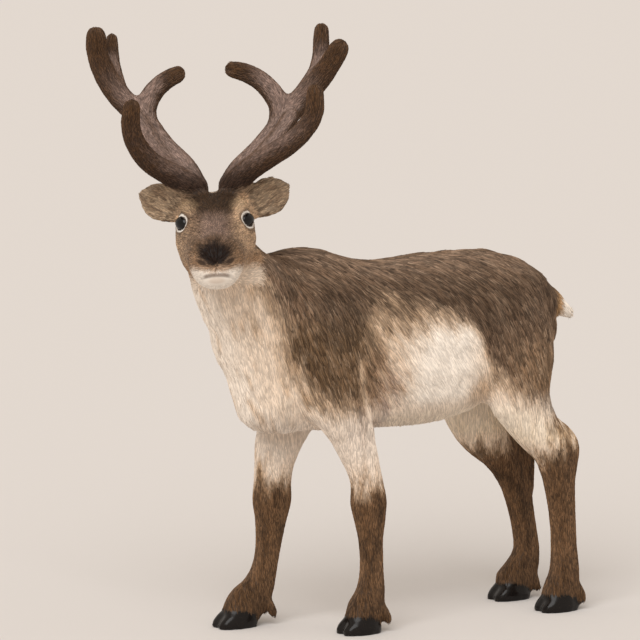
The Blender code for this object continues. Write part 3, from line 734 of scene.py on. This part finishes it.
@dataclass
class Section:
    """A run of the skin that is modelled, painted and then cut into its regions."""

    skin: Skin
    regions: Array
    lock_depth: float = 0.12
    lid_height: float = 0.22
    lid_reach: float = 1.42
    lid_width: float = 0.16
    matt: float = 0.62
    lacquer: float = 0.22
    painted_groove_shade: float = 0.5
    cover: float = 10.4
    fewest: float = 4.0
    most: float = 8.5
    colours: CoatColours = field(default_factory=CoatColours)

    def build(self) -> list[bpy.types.Object]:
        """Models and paints the skin.

        Returns:
            One closed mesh for each region.
        """
        self.place = Anatomy(self.skin)
        comb = Comb(self.skin, self.place.flow)
        self.lock = comb.strokes(seed=5, softness=3, repeats=1)
        self.brush = comb.strokes(seed=8, softness=2, repeats=2)
        self.speck = self.noise(seed=9, softness=2)
        self.grain = self.noise(seed=4, softness=0)
        furry = 1.0 - self.place.is_bare()
        depth = self.lock_depth * (1.0 - 0.8 * self.place.is_head) * furry
        relief = np.tanh(self.lock) * depth * ramp(self.place.at_body[:, 2], 34.0, 50.0)
        relief += self.lid_height * np.exp(
            -((self.place.eye_reach - self.lid_reach) / self.lid_width) ** 2)
        self.skin.points = self.skin.points + relief[:, None] * self.skin.normals
        paint = np.clip(self.painted(), 0.0, 0.9)
        roughness = self.matt + (self.lacquer - self.matt) * self.place.is_hoof
        # Painted shade: the skin under the locks is darker wherever fur grows.
        values = {TONE: 1.0 + (self.painted_groove_shade - 1.0) * furry, ROUGHNESS: roughness,
                  LOCK_LENGTH: self.place.lock_lengths(), LOCK_DENSITY: self.densities(furry)}
        return [self.piece(region, paint, values) for number, region in enumerate(Region)
                if (self.regions == number).any()]

    def noise(self, seed: int, softness: int) -> Array:
        """Blotches without a direction.

        Args:
            seed: start of the random numbers.
            softness: rounds of averaging that set a blotch's size.

        Returns:
            One value for each point, with spread 1.
        """
        value = np.random.default_rng(seed).normal(size=len(self.skin.points))
        value = self.skin.evened(value.astype(np.float32), softness)
        return value / value.std()

    def densities(self, furry: Array) -> Array:
        """Sets the locks so close that short ones cover as well as long.

        Args:
            furry: share of the fur at every point.

        Returns:
            Number of locks on a square millimetre.
        """
        close = self.cover / self.place.lock_lengths()
        return furry * np.clip(close, self.fewest, self.most)

    def painted(self) -> Array:
        """Paints the animal from the trunk outwards.

        Returns:
            Linear colour of every point.
        """
        c = {name: linear(value) for name, value in vars(self.colours).items()}
        paint = self.painted_trunk(c)
        paint = self.painted_legs(paint, c)
        paint = self.painted_face(paint, c)
        paint = self.painted_horns(paint, c)
        return over(paint, c["hoof"], self.place.is_hoof)

    def painted_trunk(self, c: Paints) -> Array:
        """Cream underneath, a brown saddle over the back and the soft runs between them.

        Args:
            c: the linear colours by name.

        Returns:
            Linear colour of every point.
        """
        place = self.place
        x, y, z = place.at_body.T
        outward = place.side * self.skin.normals[:, 0]
        brush = 0.8 * self.brush + 0.6 * self.grain
        count = len(y)
        paint = np.tile(c["cream"], (count, 1))
        flank = (ramp(y, -12.0, -4.0) * ramp(y, 12.0, 4.0)
                 * ramp(z, 70.0, 64.0) * ramp(z, 48.0, 52.0))
        paint = over(paint, c["white"], flank)
        paint = over(paint, c["warm_belly"], ramp(z, 50.0, 45.5) * ramp(z, 37.0, 42.0)
                     * ramp(y, -16.0, -10.0) * 0.6)
        chest = ramp(y, -30.0, -36.0)
        paint = over(paint, c["white"], chest * ramp(np.abs(x), 8.0, 3.0) * 0.6)
        paint = over(paint, c["ochre"], chest * ramp(self.brush, 0.2, 2.4) * 0.45)
        throat = ramp(z, 72.0, 84.0) * ramp(np.abs(x), 2.0, 7.0)
        paint = over(paint, c["ochre"], throat * ramp(self.brush, -1.5, 1.2) * 0.4)
        collar = ramp(z, 56.0, 51.0) * ramp(y, -31.0, -35.0)
        paint = over(paint, c["ochre"], collar * ramp(self.brush, -0.6, 1.6) * 0.5)
        # Painted shade behind the elbow, in mauve streaks.
        elbow_shade = ramp(y, -8.0, -14.0) * ramp(y, -26.0, -20.0) * ramp(z, 66.0, 60.0)
        paint = over(paint, c["mauve"], elbow_shade * ramp(z, 38.0, 50.0)
                     * ramp(self.brush, -1.6, 1.0) * 0.8)
        stifle = np.hypot(y - 11.0, z - 51.0)
        paint = over(paint, c["ochre"], ramp(stifle, 5.0, 1.5) * 0.45)

        edge = inside_distance(y, z, place.markings.saddle)
        rear = ramp(y, 6.0, 14.0) * ramp(z, 62.0, 54.0)
        edge = edge - 24.0 * rear * ramp(outward, 0.15, -0.25)
        fold = ramp(y, 2.0, 7.0) * ramp(y, 15.0, 11.0) * ramp(z, 54.0, 58.0)
        front = ramp(y, -1.0, -8.0) * ramp(y, -24.0, -19.0)
        soft = 1.0 + 1.1 * front - 0.7 * fold
        paint = over(paint, c["ochre"], ramp(edge / soft + 0.9 * brush, -6.0, 0.0)
                     * (0.6 + 0.1 * front))
        saddle = over(np.tile(c["saddle"], (count, 1)), c["shoulder"],
                      ramp(z, 74.0, 66.0) * ramp(y, -12.0, -22.0))
        streak = 0.3 * self.brush + 0.95 * self.grain
        saddle = over(saddle, c["ochre"], ramp(y, 12.0, 24.0) * ramp(z, 68.0, 56.0) * 0.25)
        saddle = over(saddle, c["saddle_dark"], ramp(streak, -0.4, 1.4) * 0.7)
        saddle = over(saddle, c["saddle_light"], ramp(-streak, 0.4, 1.7) * 0.5)
        band = ramp(z, 62.0, 68.0) * ramp(z, 80.0, 75.0) * ramp(y, -34.0, -28.0)
        saddle = over(saddle, c["saddle_dark"], band * 0.4)
        paint = over(paint, saddle, ramp(edge / soft + 0.9 * brush, -3.4, 2.8))
        tail = over(np.tile(c["ochre"], (count, 1)), c["white"], ramp(y, 37.0, 38.6))
        return over(paint, tail, place.is_tail())

    def painted_legs(self, paint: Array, c: Paints) -> Array:
        """Brown from the knees and the hocks down, with an ochre run above.

        Args:
            paint: the colours so far.
            c: the linear colours by name.

        Returns:
            Linear colour of every point.
        """
        place = self.place
        _, y, z = place.at_body.T
        ny = self.skin.normals[:, 1]
        brush = 0.7 * self.brush + 0.5 * self.grain
        fore = ramp(y, 4.0, 0.0)
        cuff = place.markings.hock_height + 3.5 * ramp(ny, -0.2, 0.7)
        cuff = cuff + (place.markings.knee_height - cuff) * fore
        rise = cuff - z + 1.2 * brush
        limb = ramp(z, 52.0, 46.0)
        paint = over(paint, c["white"], limb * ramp(rise, -3.0, -9.0) * 0.4)
        paint = over(paint, c["mauve"], limb * fore * 0.1)
        paint = over(paint, c["ochre"], ramp(rise, -5.0, 1.5) * 0.75)
        leg = over(np.tile(c["leg"], (len(y), 1)), c["leg_dark"], ramp(brush, -0.5, 1.4) * 0.7)
        leg = over(leg, c["leg_dark"], ramp(z, 14.0, 6.0) * 0.4)
        return over(paint, leg, ramp(rise, -3.0, 2.5))

    def painted_face(self, paint: Array, c: Paints) -> Array:
        """Brown mask, dark nose pad, white muzzle and chin, and pale rims around the eyes.

        Args:
            paint: the colours so far.
            c: the linear colours by name.

        Returns:
            Linear colour of every point.
        """
        place = self.place
        hx, hy, hz = place.at_head.T
        across = np.abs(hx)
        brush = 0.3 * self.brush + 0.7 * self.grain
        # Pale cheeks, partly painted light: the pale paint reaches further on the head's left
        # side.
        face = over(np.tile(c["face"], (len(hx), 1)), c["cheek"],
                    ramp(across + 0.25 * hx, 3.4, 7.0) * ramp(hy, -17.0, -9.0) * 0.9)
        face = over(face, c["forehead"], ramp(brush, -0.1, 1.1) * 0.75)
        face = over(face, c["cheek"], ramp(-brush, 0.2, 1.4) * 0.5)
        crown = ramp(hz, 0.0, 3.2) * ramp(across - 0.5 * hz, 4.2, 1.4)
        face = over(face, c["forehead"], crown * 0.95)
        brow = ramp(np.hypot((across - 5.6) / 2.2, (hz - 3.6) / 1.3), 1.3, 0.5)
        face = over(face, c["brow"], brow * ramp(brush, -0.8, 1.0) * 0.8)
        stripe = ramp(across + 0.5 * brush, 4.6, 1.2) * ramp(hz, 3.5, 0.5)
        face = over(face, c["bridge"], stripe * 0.75)
        jaw = hz + 0.10 * hy + 0.5 * brush - 1.8 * ramp(hx, 3.0, 6.5)
        face = over(face, c["muzzle_ochre"], ramp(jaw, -7.6, -10.6) * 0.75)
        face = over(face, c["cream"], ramp(jaw, -10.4, -13.0))
        lips = ramp(hy, -11.0, -15.0) * ramp(hz + 0.3 * brush, -7.0, -9.2)
        lips *= ramp(across, 6.4, 4.4)
        face = over(face, c["white"], lips)
        pad = inside_distance(hx, hz, place.markings.nose) + 0.35 * brush
        front = ramp(hy, -13.0, -15.5)
        face = over(face, c["muzzle_ochre"], ramp(pad, -2.4, -0.8) * front * 0.6)
        above = ramp(hz, -6.0, -3.0)
        low_edge = -0.8 - 2.4 * above
        face = over(face, c["nose"], ramp((pad - low_edge) / (0.5 - low_edge), 0.0, 1.0) * front)
        out, rise = across - NOSTRIL[0], hz - NOSTRIL[1]
        level, tilt = place.markings.nostril_slant
        length, height = place.markings.nostril_half
        nostril = np.hypot((level * out + tilt * rise) / length,
                           (level * rise - tilt * out) / height)
        face = over(face, c["face"], ramp(nostril, 1.9, 1.1) * front * 0.4)
        face = over(face, c["nose"], ramp(nostril, 1.1, 0.7) * front * 0.85)
        mouth = -9.4 - 0.05 * across ** 2
        line = ramp(np.abs(hz - mouth), 0.65, 0.2) * front * ramp(across, 3.4, 2.2)
        face = over(face, c["mouth"], line * 0.75)
        # Painted shade under the mouth line, in muzzle ochre.
        lower = ramp(np.hypot(hx / 2.0, (hz + 10.6) / 0.8), 1.2, 0.5) * front
        face = over(face, c["muzzle_ochre"], lower * 0.35)
        paint = over(paint, face, place.is_head)
        reach = place.eye_reach
        paint = over(paint, c["forehead"], ramp(reach, 1.75, 1.5) * 0.7)
        paint = over(paint, c["eye_rim"], ramp(reach, 1.3, 1.2))
        return over(paint, c["nose"], ramp(reach, 1.06, 0.98))

    def painted_horns(self, paint: Array, c: Paints) -> Array:
        """Ears with paler cups, and antlers in brown velvet with a painted mauve highlight.

        Args:
            paint: the colours so far.
            c: the linear colours by name.

        Returns:
            Linear colour of every point.
        """
        place = self.place
        hz = place.at_head[:, 2]
        brush = 0.5 * self.brush + 0.5 * self.speck
        _, backward, upward = (self.skin.normals @ place.head.rotation()).T
        ear = np.tile(c["ear"], (len(hz), 1))
        ear = over(ear, c["ear_cup"], ramp(backward, 0.0, -0.6) * ramp(brush, -1.5, 0.8) * 0.8)
        ear = over(ear, c["forehead"], ramp(place.ear_along + 1.2 * brush, 6.0, 1.5) * 0.6)
        paint = over(paint, ear, place.is_ear)
        antler = over(np.tile(c["antler"], (len(hz), 1)), c["antler_tip"],
                      ramp(place.antler_share, 0.75, 1.0) * 0.8)
        # Painted highlight: mauve where the antler faces up and forward, fading towards the tips.
        lit = 0.6 * upward - 0.8 * backward + 0.1 * self.grain
        sheen = ramp(lit, 0.35, 1.05) * 0.85
        sheen = sheen * ramp(place.antler_share, 0.9, 0.55)
        antler = over(antler, c["antler_sheen"], sheen)
        antler = over(antler, c["antler_root"], ramp(self.grain, 0.2, 1.8) * 0.6)
        antler = over(antler, c["antler_root"], ramp(hz, 13.0, 7.5) * 0.9)
        return over(paint, antler, place.is_antler)

    def piece(self, region: Region, paint: Array, values: dict[str, Array]) -> bpy.types.Object:
        """Makes the closed mesh of one region.

        Args:
            region: the region.
            paint: linear colour of every point of the section.
            values: other values of every point, by attribute name.

        Returns:
            The mesh's object.
        """
        chosen = self.regions == list(Region).index(region)
        used, corners = np.unique(self.skin.quads[chosen], return_inverse=True)
        corners = corners.reshape(-1, 4)
        points = self.skin.points[used]
        caps, centres = self.caps(corners, points)
        rows = np.concatenate([used, np.full(len(centres), used[0])])
        mesh = bpy.data.meshes.new(region.title)
        mesh.from_pydata((np.concatenate([points, centres]) * MM).tolist(), [],
                         corners.tolist() + caps)
        outside = [True] * len(corners) + [False] * len(caps)
        mesh.polygons.foreach_set("use_smooth", outside)
        mesh.attributes.new(OUTSIDE, "BOOLEAN", "FACE").data.foreach_set("value", outside)
        colours = np.concatenate([paint[rows], np.ones((len(rows), 1))], axis=1)
        mesh.attributes.new(PAINT, "FLOAT_COLOR", "POINT").data.foreach_set(
            "color", colours.astype(np.float32).ravel())
        mesh.attributes.new(FLOW, "FLOAT_VECTOR", "POINT").data.foreach_set(
            "vector", self.place.flow[rows].ravel())
        for name, value in values.items():
            mesh.attributes.new(name, "FLOAT", "POINT").data.foreach_set(
                "value", value[rows].astype(np.float32))
        mesh.update()
        obj = bpy.data.objects.new(region.title, mesh)
        bpy.context.scene.collection.objects.link(obj)
        LOG.info("%s: %d faces", region.title, len(mesh.polygons))
        return obj

    @staticmethod
    def caps(corners: Array, points: Array) -> tuple[list, Array]:
        """Fans that close the open rims where a region was parted from the next.

        Args:
            corners: quads of the region.
            points: its points.

        Returns:
            The fans' triangles and their middle points.
        """
        start = corners.ravel()
        end = np.roll(corners, -1, axis=1).ravel()
        count = len(points)
        forward = start.astype(np.int64) * count + end
        backward = end.astype(np.int64) * count + start
        open_edge = ~np.isin(forward, backward)
        after: dict[int, list[int]] = {}
        for a, b in zip(start[open_edge].tolist(), end[open_edge].tolist()):
            after.setdefault(a, []).append(b)
        triangles, centres = [], []
        while after:
            first = next(iter(after))
            rim = [first]
            here = first
            while here in after:
                ends = after[here]
                following = ends.pop()
                if not ends:
                    del after[here]
                here = following
                rim.append(here)
            middle = count + len(centres)
            centres.append(points[rim].mean(axis=0))
            triangles += [(b, a, middle) for a, b in zip(rim, rim[1:])]
        return triangles, np.array(centres, dtype=np.float32).reshape(-1, 3)


def coat_pieces(grid: float = 0.55, rounding_passes: int = 10) -> list[bpy.types.Object]:
    """Builds the whole coat, its head and hooves on a finer skin than the rest.

    Args:
        grid: size of the skin's cells in millimetres.
        rounding_passes: rounds of smoothing that take the solid's facets away.

    Returns:
        The meshes of the coat's regions.
    """
    skin = Skin.around(NODE, grid, rounding_passes)
    LOG.info("skin: %d points, %d quads", len(skin.points), len(skin.quads))
    regions = Anatomy(skin).region_of_quads()
    fine = [number for number, region in enumerate(Region) if region.fine]
    plain = ~np.isin(regions, fine)
    pieces = Section(skin.part(plain), regions[plain]).build()
    for number in fine:
        divided = skin.part(skin.widened(regions == number)).finer()
        pieces += Section(divided, np.full(len(divided.quads), number)).build()
    return pieces


def add_node(tree: bpy.types.NodeTree, kind: str, links: dict | None = None,
             **settings: object) -> bpy.types.Node:
    """Adds a node with its settings and links.

    Args:
        tree: the tree that gets it.
        kind: the node's type.
        links: input name or number to an output socket or a value.
        settings: properties of the node.

    Returns:
        The new node.
    """
    node = tree.nodes.new(kind)
    for name, value in settings.items():
        setattr(node, name, value)
    for name, value in (links or {}).items():
        if isinstance(value, bpy.types.NodeSocket):
            tree.links.new(value, node.inputs[name])
        else:
            node.inputs[name].default_value = value
    return node


@dataclass
class Fur:
    """Short tapered locks, each a closed sliver, that lie over a piece of the coat."""

    material: bpy.types.Material
    spread: float = 7.0
    lift: float = 3.6
    least_lift: float = 0.7
    most_lift: float = 1.3
    shortest: float = 0.75
    longest: float = 1.3
    dullest: float = 0.46
    brightest: float = 1.58
    half_width: float = 0.135
    width_by_length: float = 0.04
    half_depth: float = 0.075
    depth_by_length: float = 0.035
    flatter_when_pale: float = 0.6
    edge_light: float = 0.45
    tip_light: float = 0.2
    groove_shade: float = 0.44
    ridge_shade: float = 0.7

    def __post_init__(self) -> None:
        """Builds the tree that all the pieces share."""
        self.tree = self.build_tree()

    def build_tree(self) -> bpy.types.NodeTree:
        """Builds the node tree, with its inputs named.

        Returns:
            The tree.
        """
        tree = bpy.data.node_groups.new("locks_of_fur", "GeometryNodeTree")
        for name, kind in (("Coat", "Geometry"), ("Seed", "Int"), ("Spread", "Float"),
                           ("Lift", "Float"), ("Material", "Material")):
            tree.interface.new_socket(name, in_out="INPUT", socket_type=f"NodeSocket{kind}")
        tree.interface.new_socket("Locks", in_out="OUTPUT", socket_type="NodeSocketGeometry")
        given = tree.nodes.new("NodeGroupInput").outputs
        made = tree.nodes.new("NodeGroupOutput")

        def value(name: str, kind: str = "FLOAT") -> bpy.types.NodeSocket:
            """A named value of the points."""
            node = add_node(tree, "GeometryNodeInputNamedAttribute", {"Name": name},
                            data_type=kind)
            return node.outputs["Attribute"]

        def worked(kind: str, first: object, second: object = 0.0) -> bpy.types.NodeSocket:
            """The result of one step of arithmetic."""
            return add_node(tree, "ShaderNodeMath", {0: first, 1: second},
                            operation=kind).outputs[0]

        def chance(low: float, high: float, step: int) -> bpy.types.NodeSocket:
            """A random number from low to high, other than that of the other steps."""
            seed = worked("ADD", given["Seed"], float(step))
            return add_node(tree, "FunctionNodeRandomValue",
                            {2: low, 3: high, "Seed": seed}).outputs[1]

        def stored(geometry: bpy.types.NodeSocket, name: str,
                   amount: bpy.types.NodeSocket) -> bpy.types.NodeSocket:
            """The geometry with an amount kept on its points."""
            return add_node(tree, "GeometryNodeStoreNamedAttribute",
                            {"Geometry": geometry, "Name": name, "Value": amount},
                            data_type="FLOAT", domain="POINT").outputs[0]

        per_square_metre = worked("MULTIPLY", value(LOCK_DENSITY), 1.0 / MM ** 2)
        scatter = add_node(tree, "GeometryNodeDistributePointsOnFaces",
                           {"Mesh": given["Coat"], "Selection": value(OUTSIDE, "BOOLEAN"),
                            "Density": per_square_metre, "Seed": given["Seed"]},
                           distribute_method="RANDOM")
        roots = stored(scatter.outputs["Points"], BRIGHTNESS,
                       chance(self.dullest, self.brightest, 1))

        # A sliver along x: five corners, its ridge up, root at -1 and tip at +1
        ball = add_node(tree, "GeometryNodeMeshUVSphere", {"Segments": 3, "Rings": 2,
                                                           "Radius": 1.0})
        laid = add_node(tree, "GeometryNodeTransform",
                        {"Geometry": ball.outputs["Mesh"],
                         "Rotation": (0.0, math.radians(-90.0), 0.0)})
        corner = add_node(tree, "ShaderNodeSeparateXYZ",
                          {0: tree.nodes.new("GeometryNodeInputPosition").outputs[0]})
        # Painted highlight on each lock: lighter along its ridge and on its flanks towards the
        # tip.
        high = worked("MAXIMUM", corner.outputs["Z"])
        flank = worked("SUBTRACT", 1.0, worked("ABSOLUTE", corner.outputs["Z"]))
        edge = worked("ADD", worked("MULTIPLY", corner.outputs["X"], self.tip_light),
                      self.edge_light)
        ridge = worked("ADD", high, worked("MULTIPLY", flank, edge))
        sliver = stored(laid.outputs["Geometry"], RIDGE, ridge)

        upright = add_node(tree, "FunctionNodeAxesToRotation",
                           {"Primary Axis": scatter.outputs["Normal"],
                            "Secondary Axis": value(FLOW, "FLOAT_VECTOR")},
                           primary_axis="Z", secondary_axis="X")
        yaw = worked("MULTIPLY", chance(-1.0, 1.0, 2), given["Spread"])
        pitch = worked("MULTIPLY", chance(-self.most_lift, -self.least_lift, 3), given["Lift"])
        nudge = add_node(tree, "ShaderNodeCombineXYZ",
                         {"Y": worked("RADIANS", pitch), "Z": worked("RADIANS", yaw)})
        turned = add_node(tree, "FunctionNodeRotateRotation",
                          {"Rotation": upright.outputs["Rotation"],
                           "Rotate By": nudge.outputs["Vector"]}, rotation_space="LOCAL")
        length = worked("MULTIPLY", value(LOCK_LENGTH), chance(self.shortest, self.longest, 4))
        wide = worked("MULTIPLY", length, self.width_by_length)
        wide = worked("ADD", wide, self.half_width)
        deep = worked("MULTIPLY", length, self.depth_by_length)
        deep = worked("ADD", deep, self.half_depth)
        flatter = worked("MULTIPLY", value(PAINT), self.flatter_when_pale)
        deep = worked("MULTIPLY", deep, worked("SUBTRACT", 1.0, flatter))
        size = add_node(tree, "ShaderNodeCombineXYZ",
                        {"X": worked("MULTIPLY", length, 0.5 * MM),
                         "Y": worked("MULTIPLY", wide, MM), "Z": worked("MULTIPLY", deep, MM)})
        locks = add_node(tree, "GeometryNodeInstanceOnPoints",
                         {"Points": roots, "Instance": sliver,
                          "Rotation": turned.outputs["Rotation"], "Scale": size.outputs[0]})
        real = add_node(tree, "GeometryNodeRealizeInstances", {"Geometry": locks.outputs[0]})
        # Painted shade and highlight from the ridge, times the lock's own random brightness.
        shade = worked("MULTIPLY", value(RIDGE), self.ridge_shade)
        shade = worked("ADD", shade, self.groove_shade)
        toned = stored(real.outputs[0], TONE, worked("MULTIPLY", shade, value(BRIGHTNESS)))
        flat = add_node(tree, "GeometryNodeSetShadeSmooth",
                        {"Geometry": toned, "Shade Smooth": False})
        dressed = add_node(tree, "GeometryNodeSetMaterial",
                           {"Geometry": flat.outputs[0], "Material": given["Material"]})
        tree.links.new(dressed.outputs[0], made.inputs["Locks"])
        return tree

    def grow(self, coat: bpy.types.Object, seed: int) -> bpy.types.Object:
        """Lays the locks over one piece of the coat.

        Args:
            coat: the piece.
            seed: start of the random numbers.

        Returns:
            A mesh of all its locks.
        """
        modifier = coat.modifiers.new("fur", "NODES")
        modifier.node_group = self.tree
        inputs = {"Seed": seed, "Spread": self.spread, "Lift": self.lift,
                  "Material": self.material}
        for socket in self.tree.interface.items_tree:
            if socket.in_out == "INPUT" and socket.name in inputs:
                modifier[socket.identifier] = inputs[socket.name]
        depsgraph = bpy.context.evaluated_depsgraph_get()
        mesh = bpy.data.meshes.new_from_object(coat.evaluated_get(depsgraph))
        coat.modifiers.remove(modifier)
        for name in (FLOW, LOCK_LENGTH, LOCK_DENSITY, BRIGHTNESS, RIDGE):
            if name in mesh.attributes:
                mesh.attributes.remove(mesh.attributes[name])
        mesh.name = f"{coat.name}_fur"
        fur = bpy.data.objects.new(mesh.name, mesh)
        bpy.context.scene.collection.objects.link(fur)
        LOG.info("%s: %d triangles", fur.name, len(mesh.polygons))
        return fur


@dataclass(frozen=True)
class PaintedVinyl:
    """Moulded soft vinyl under hand-brushed acrylic paint: matt, with a faint grain.

    The tone lays painted shade in the grooves and a painted highlight on the ridges of the locks.
    Calm says how far pale paint evens that out.
    """

    name: str = "moulded_painted_pvc"
    grain: float = 0.22
    grain_strength: float = 0.12
    grain_depth: float = 0.05
    ior: float = 1.49
    specular: float = 0.22
    calm: float = 0.9

    def material(self) -> bpy.types.Material:
        """Builds the coat's material, coloured by the paint that the skin carries.

        Returns:
            The material.
        """
        material = bpy.data.materials.new(self.name)
        material.use_nodes = True
        tree = material.node_tree
        shader = tree.nodes["Principled BSDF"]
        paint = add_node(tree, "ShaderNodeAttribute", attribute_name=PAINT)
        rough = add_node(tree, "ShaderNodeAttribute", attribute_name=ROUGHNESS)
        place = add_node(tree, "ShaderNodeTexCoord")
        noise = add_node(tree, "ShaderNodeTexNoise", {
            "Vector": place.outputs["Object"], "Scale": 1.0 / (self.grain * MM), "Detail": 3.0})
        bump = add_node(tree, "ShaderNodeBump", {
            "Height": noise.outputs["Fac"], "Strength": self.grain_strength,
            "Distance": self.grain_depth * MM})
        tone = add_node(tree, "ShaderNodeAttribute", attribute_name=TONE)
        calm = add_node(tree, "ShaderNodeMath", {0: paint.outputs["Fac"], 1: self.calm},
                        operation="MULTIPLY")
        softened = add_node(tree, "ShaderNodeMix", {
            "Factor": calm.outputs[0], "A": tone.outputs["Fac"], "B": 1.0}, data_type="FLOAT")
        toned = add_node(tree, "ShaderNodeVectorMath", {
            0: paint.outputs["Color"], "Scale": softened.outputs[0]}, operation="SCALE")
        tree.links.new(toned.outputs[0], shader.inputs["Base Color"])
        tree.links.new(rough.outputs["Fac"], shader.inputs["Roughness"])
        tree.links.new(bump.outputs["Normal"], shader.inputs["Normal"])
        shader.inputs["IOR"].default_value = self.ior
        shader.inputs["Specular IOR Level"].default_value = self.specular
        return material


@dataclass(frozen=True)
class GlossEnamel:
    """Black gloss enamel on the eyes: a wet highlight on a near-black ball."""

    name: str = "gloss_enamel"
    colour: str = "#0b0807"
    roughness: float = 0.06
    specular: float = 0.32

    def material(self) -> bpy.types.Material:
        """Builds the eyes' material.

        Returns:
            The material.
        """
        material = bpy.data.materials.new(self.name)
        material.use_nodes = True
        shader = material.node_tree.nodes["Principled BSDF"]
        shader.inputs["Base Color"].default_value = (*linear(self.colour), 1.0)
        shader.inputs["Roughness"].default_value = self.roughness
        shader.inputs["Specular IOR Level"].default_value = self.specular
        return material


@dataclass
class Eyes:
    """The two eyeballs, set in their painted rims."""

    head: HeadPlace = field(default_factory=HeadPlace)
    half_length: float = EYE_HALF[0]
    half_height: float = EYE_HALF[1]
    half_depth: float = 1.3
    proud: float = 0.72
    segments: int = 40
    rings: int = 24

    def build(self) -> list[bpy.types.Object]:
        """One glossy ball for each side."""
        return [self.ball(side) for side in Side]

    def ball(self, side: Side) -> bpy.types.Object:
        """Makes an eyeball, in place.

        Args:
            side: the animal's side that it is on.

        Returns:
            The eyeball's object.
        """
        mesh = bmesh.new()
        bmesh.ops.create_uvsphere(mesh, u_segments=self.segments, v_segments=self.rings,
                                  radius=1.0)
        sign = side.value
        out = Vector((EYE_OUT[0] * sign, EYE_OUT[1], EYE_OUT[2])).normalized()
        surface = Vector((EYE_POINT[0] * sign, EYE_POINT[1], EYE_POINT[2]))
        centre = surface + out * (self.proud - self.half_depth)
        turned = out.to_track_quat("Z", "Y").to_matrix().to_4x4()
        head = Matrix([[float(v) for v in row] for row in self.head.rotation()]).to_4x4()
        place = (Matrix.Scale(MM, 4) @ Matrix.Translation(self.head.place(tuple(centre)))
                 @ head @ turned
                 @ Matrix.Diagonal((self.half_length, self.half_height, self.half_depth, 1.0)))
        mesh.transform(place)
        bmesh.ops.recalc_face_normals(mesh, faces=mesh.faces)
        data = bpy.data.meshes.new(f"eye_{side.name.lower()}")
        mesh.to_mesh(data)
        mesh.free()
        data.shade_smooth()
        obj = bpy.data.objects.new(data.name, data)
        bpy.context.scene.collection.objects.link(obj)
        return obj


@dataclass(frozen=True)
class Studio:
    """Pale floor, soft lights and the camera."""

    target: tuple[float, float, float] = (-14.33, -1.30, 67.0)
    eye: tuple[float, float, float] = (766.97, -434.40, 176.7)
    lens: float = 227.8
    sensor: float = 36.0
    floor_half: float = 12.0
    floor_colour: str = "#d4cfcb"
    floor_roughness: float = 0.9
    world_colour: str = "#fbf1e6"
    world_strength: float = 0.69
    key_strength: float = 2.35
    key_angle: float = 50.0
    key_from: tuple[float, float, float] = (0.7, -0.65, 0.85)

    def build(self) -> None:
        """Makes the floor, the lights, the world and the camera."""
        bpy.context.scene.view_settings.view_transform = "Standard"
        self.floor()
        self.key()
        world = bpy.data.worlds.new("studio")
        world.use_nodes = True
        background = world.node_tree.nodes["Background"]
        background.inputs["Color"].default_value = (*linear(self.world_colour), 1.0)
        background.inputs["Strength"].default_value = self.world_strength
        bpy.context.scene.world = world
        self.camera()

    def floor(self) -> None:
        """A wide pale floor of matt paper under the hooves, without a shine."""
        mesh = bmesh.new()
        bmesh.ops.create_grid(mesh, x_segments=4, y_segments=4, size=self.floor_half)
        data = bpy.data.meshes.new("floor")
        mesh.to_mesh(data)
        mesh.free()
        obj = bpy.data.objects.new("floor", data)
        bpy.context.scene.collection.objects.link(obj)
        material = bpy.data.materials.new("matt_paper")
        material.use_nodes = True
        shader = material.node_tree.nodes["Principled BSDF"]
        shader.inputs["Base Color"].default_value = (*linear(self.floor_colour), 1.0)
        shader.inputs["Roughness"].default_value = self.floor_roughness
        shader.inputs["Specular IOR Level"].default_value = 0.0
        data.materials.append(material)

    def key(self) -> None:
        """A broad soft key light from above the camera, a little to its left."""
        lamp = bpy.data.lights.new("key", "SUN")
        lamp.energy = self.key_strength
        lamp.angle = math.radians(self.key_angle)
        obj = bpy.data.objects.new("key", lamp)
        obj.rotation_euler = Vector(self.key_from).to_track_quat("Z", "Y").to_euler()
        bpy.context.scene.collection.objects.link(obj)

    def camera(self) -> None:
        """The camera at the reference view."""
        lens = bpy.data.cameras.new("camera")
        lens.lens = self.lens
        lens.sensor_width = self.sensor
        lens.clip_start = 0.05
        lens.clip_end = 60.0
        obj = bpy.data.objects.new("camera", lens)
        place = Vector(self.eye) * MM
        obj.location = place
        obj.rotation_euler = (place - Vector(self.target) * MM).to_track_quat("Z", "Y").to_euler()
        bpy.context.scene.collection.objects.link(obj)
        bpy.context.scene.camera = obj


def hand_over(obj: bpy.types.Object) -> None:
    """Lets a mesh ride the body."""
    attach(obj, BODY)


def main() -> None:
    """Builds every piece, dresses it and lets it ride the body."""
    vinyl = PaintedVinyl().material()
    fur = Fur(vinyl)
    coat = coat_pieces()
    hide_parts(NODE)
    for number, piece in enumerate(coat):
        piece.data.materials.append(vinyl)
        hand_over(piece)
        hand_over(fur.grow(piece, seed=number))
    enamel = GlossEnamel().material()
    for ball in Eyes().build():
        ball.data.materials.append(enamel)
        hand_over(ball)
        LOG.info("%s in place", ball.name)
    Studio().build()


if __name__ == "__main__":
    main()
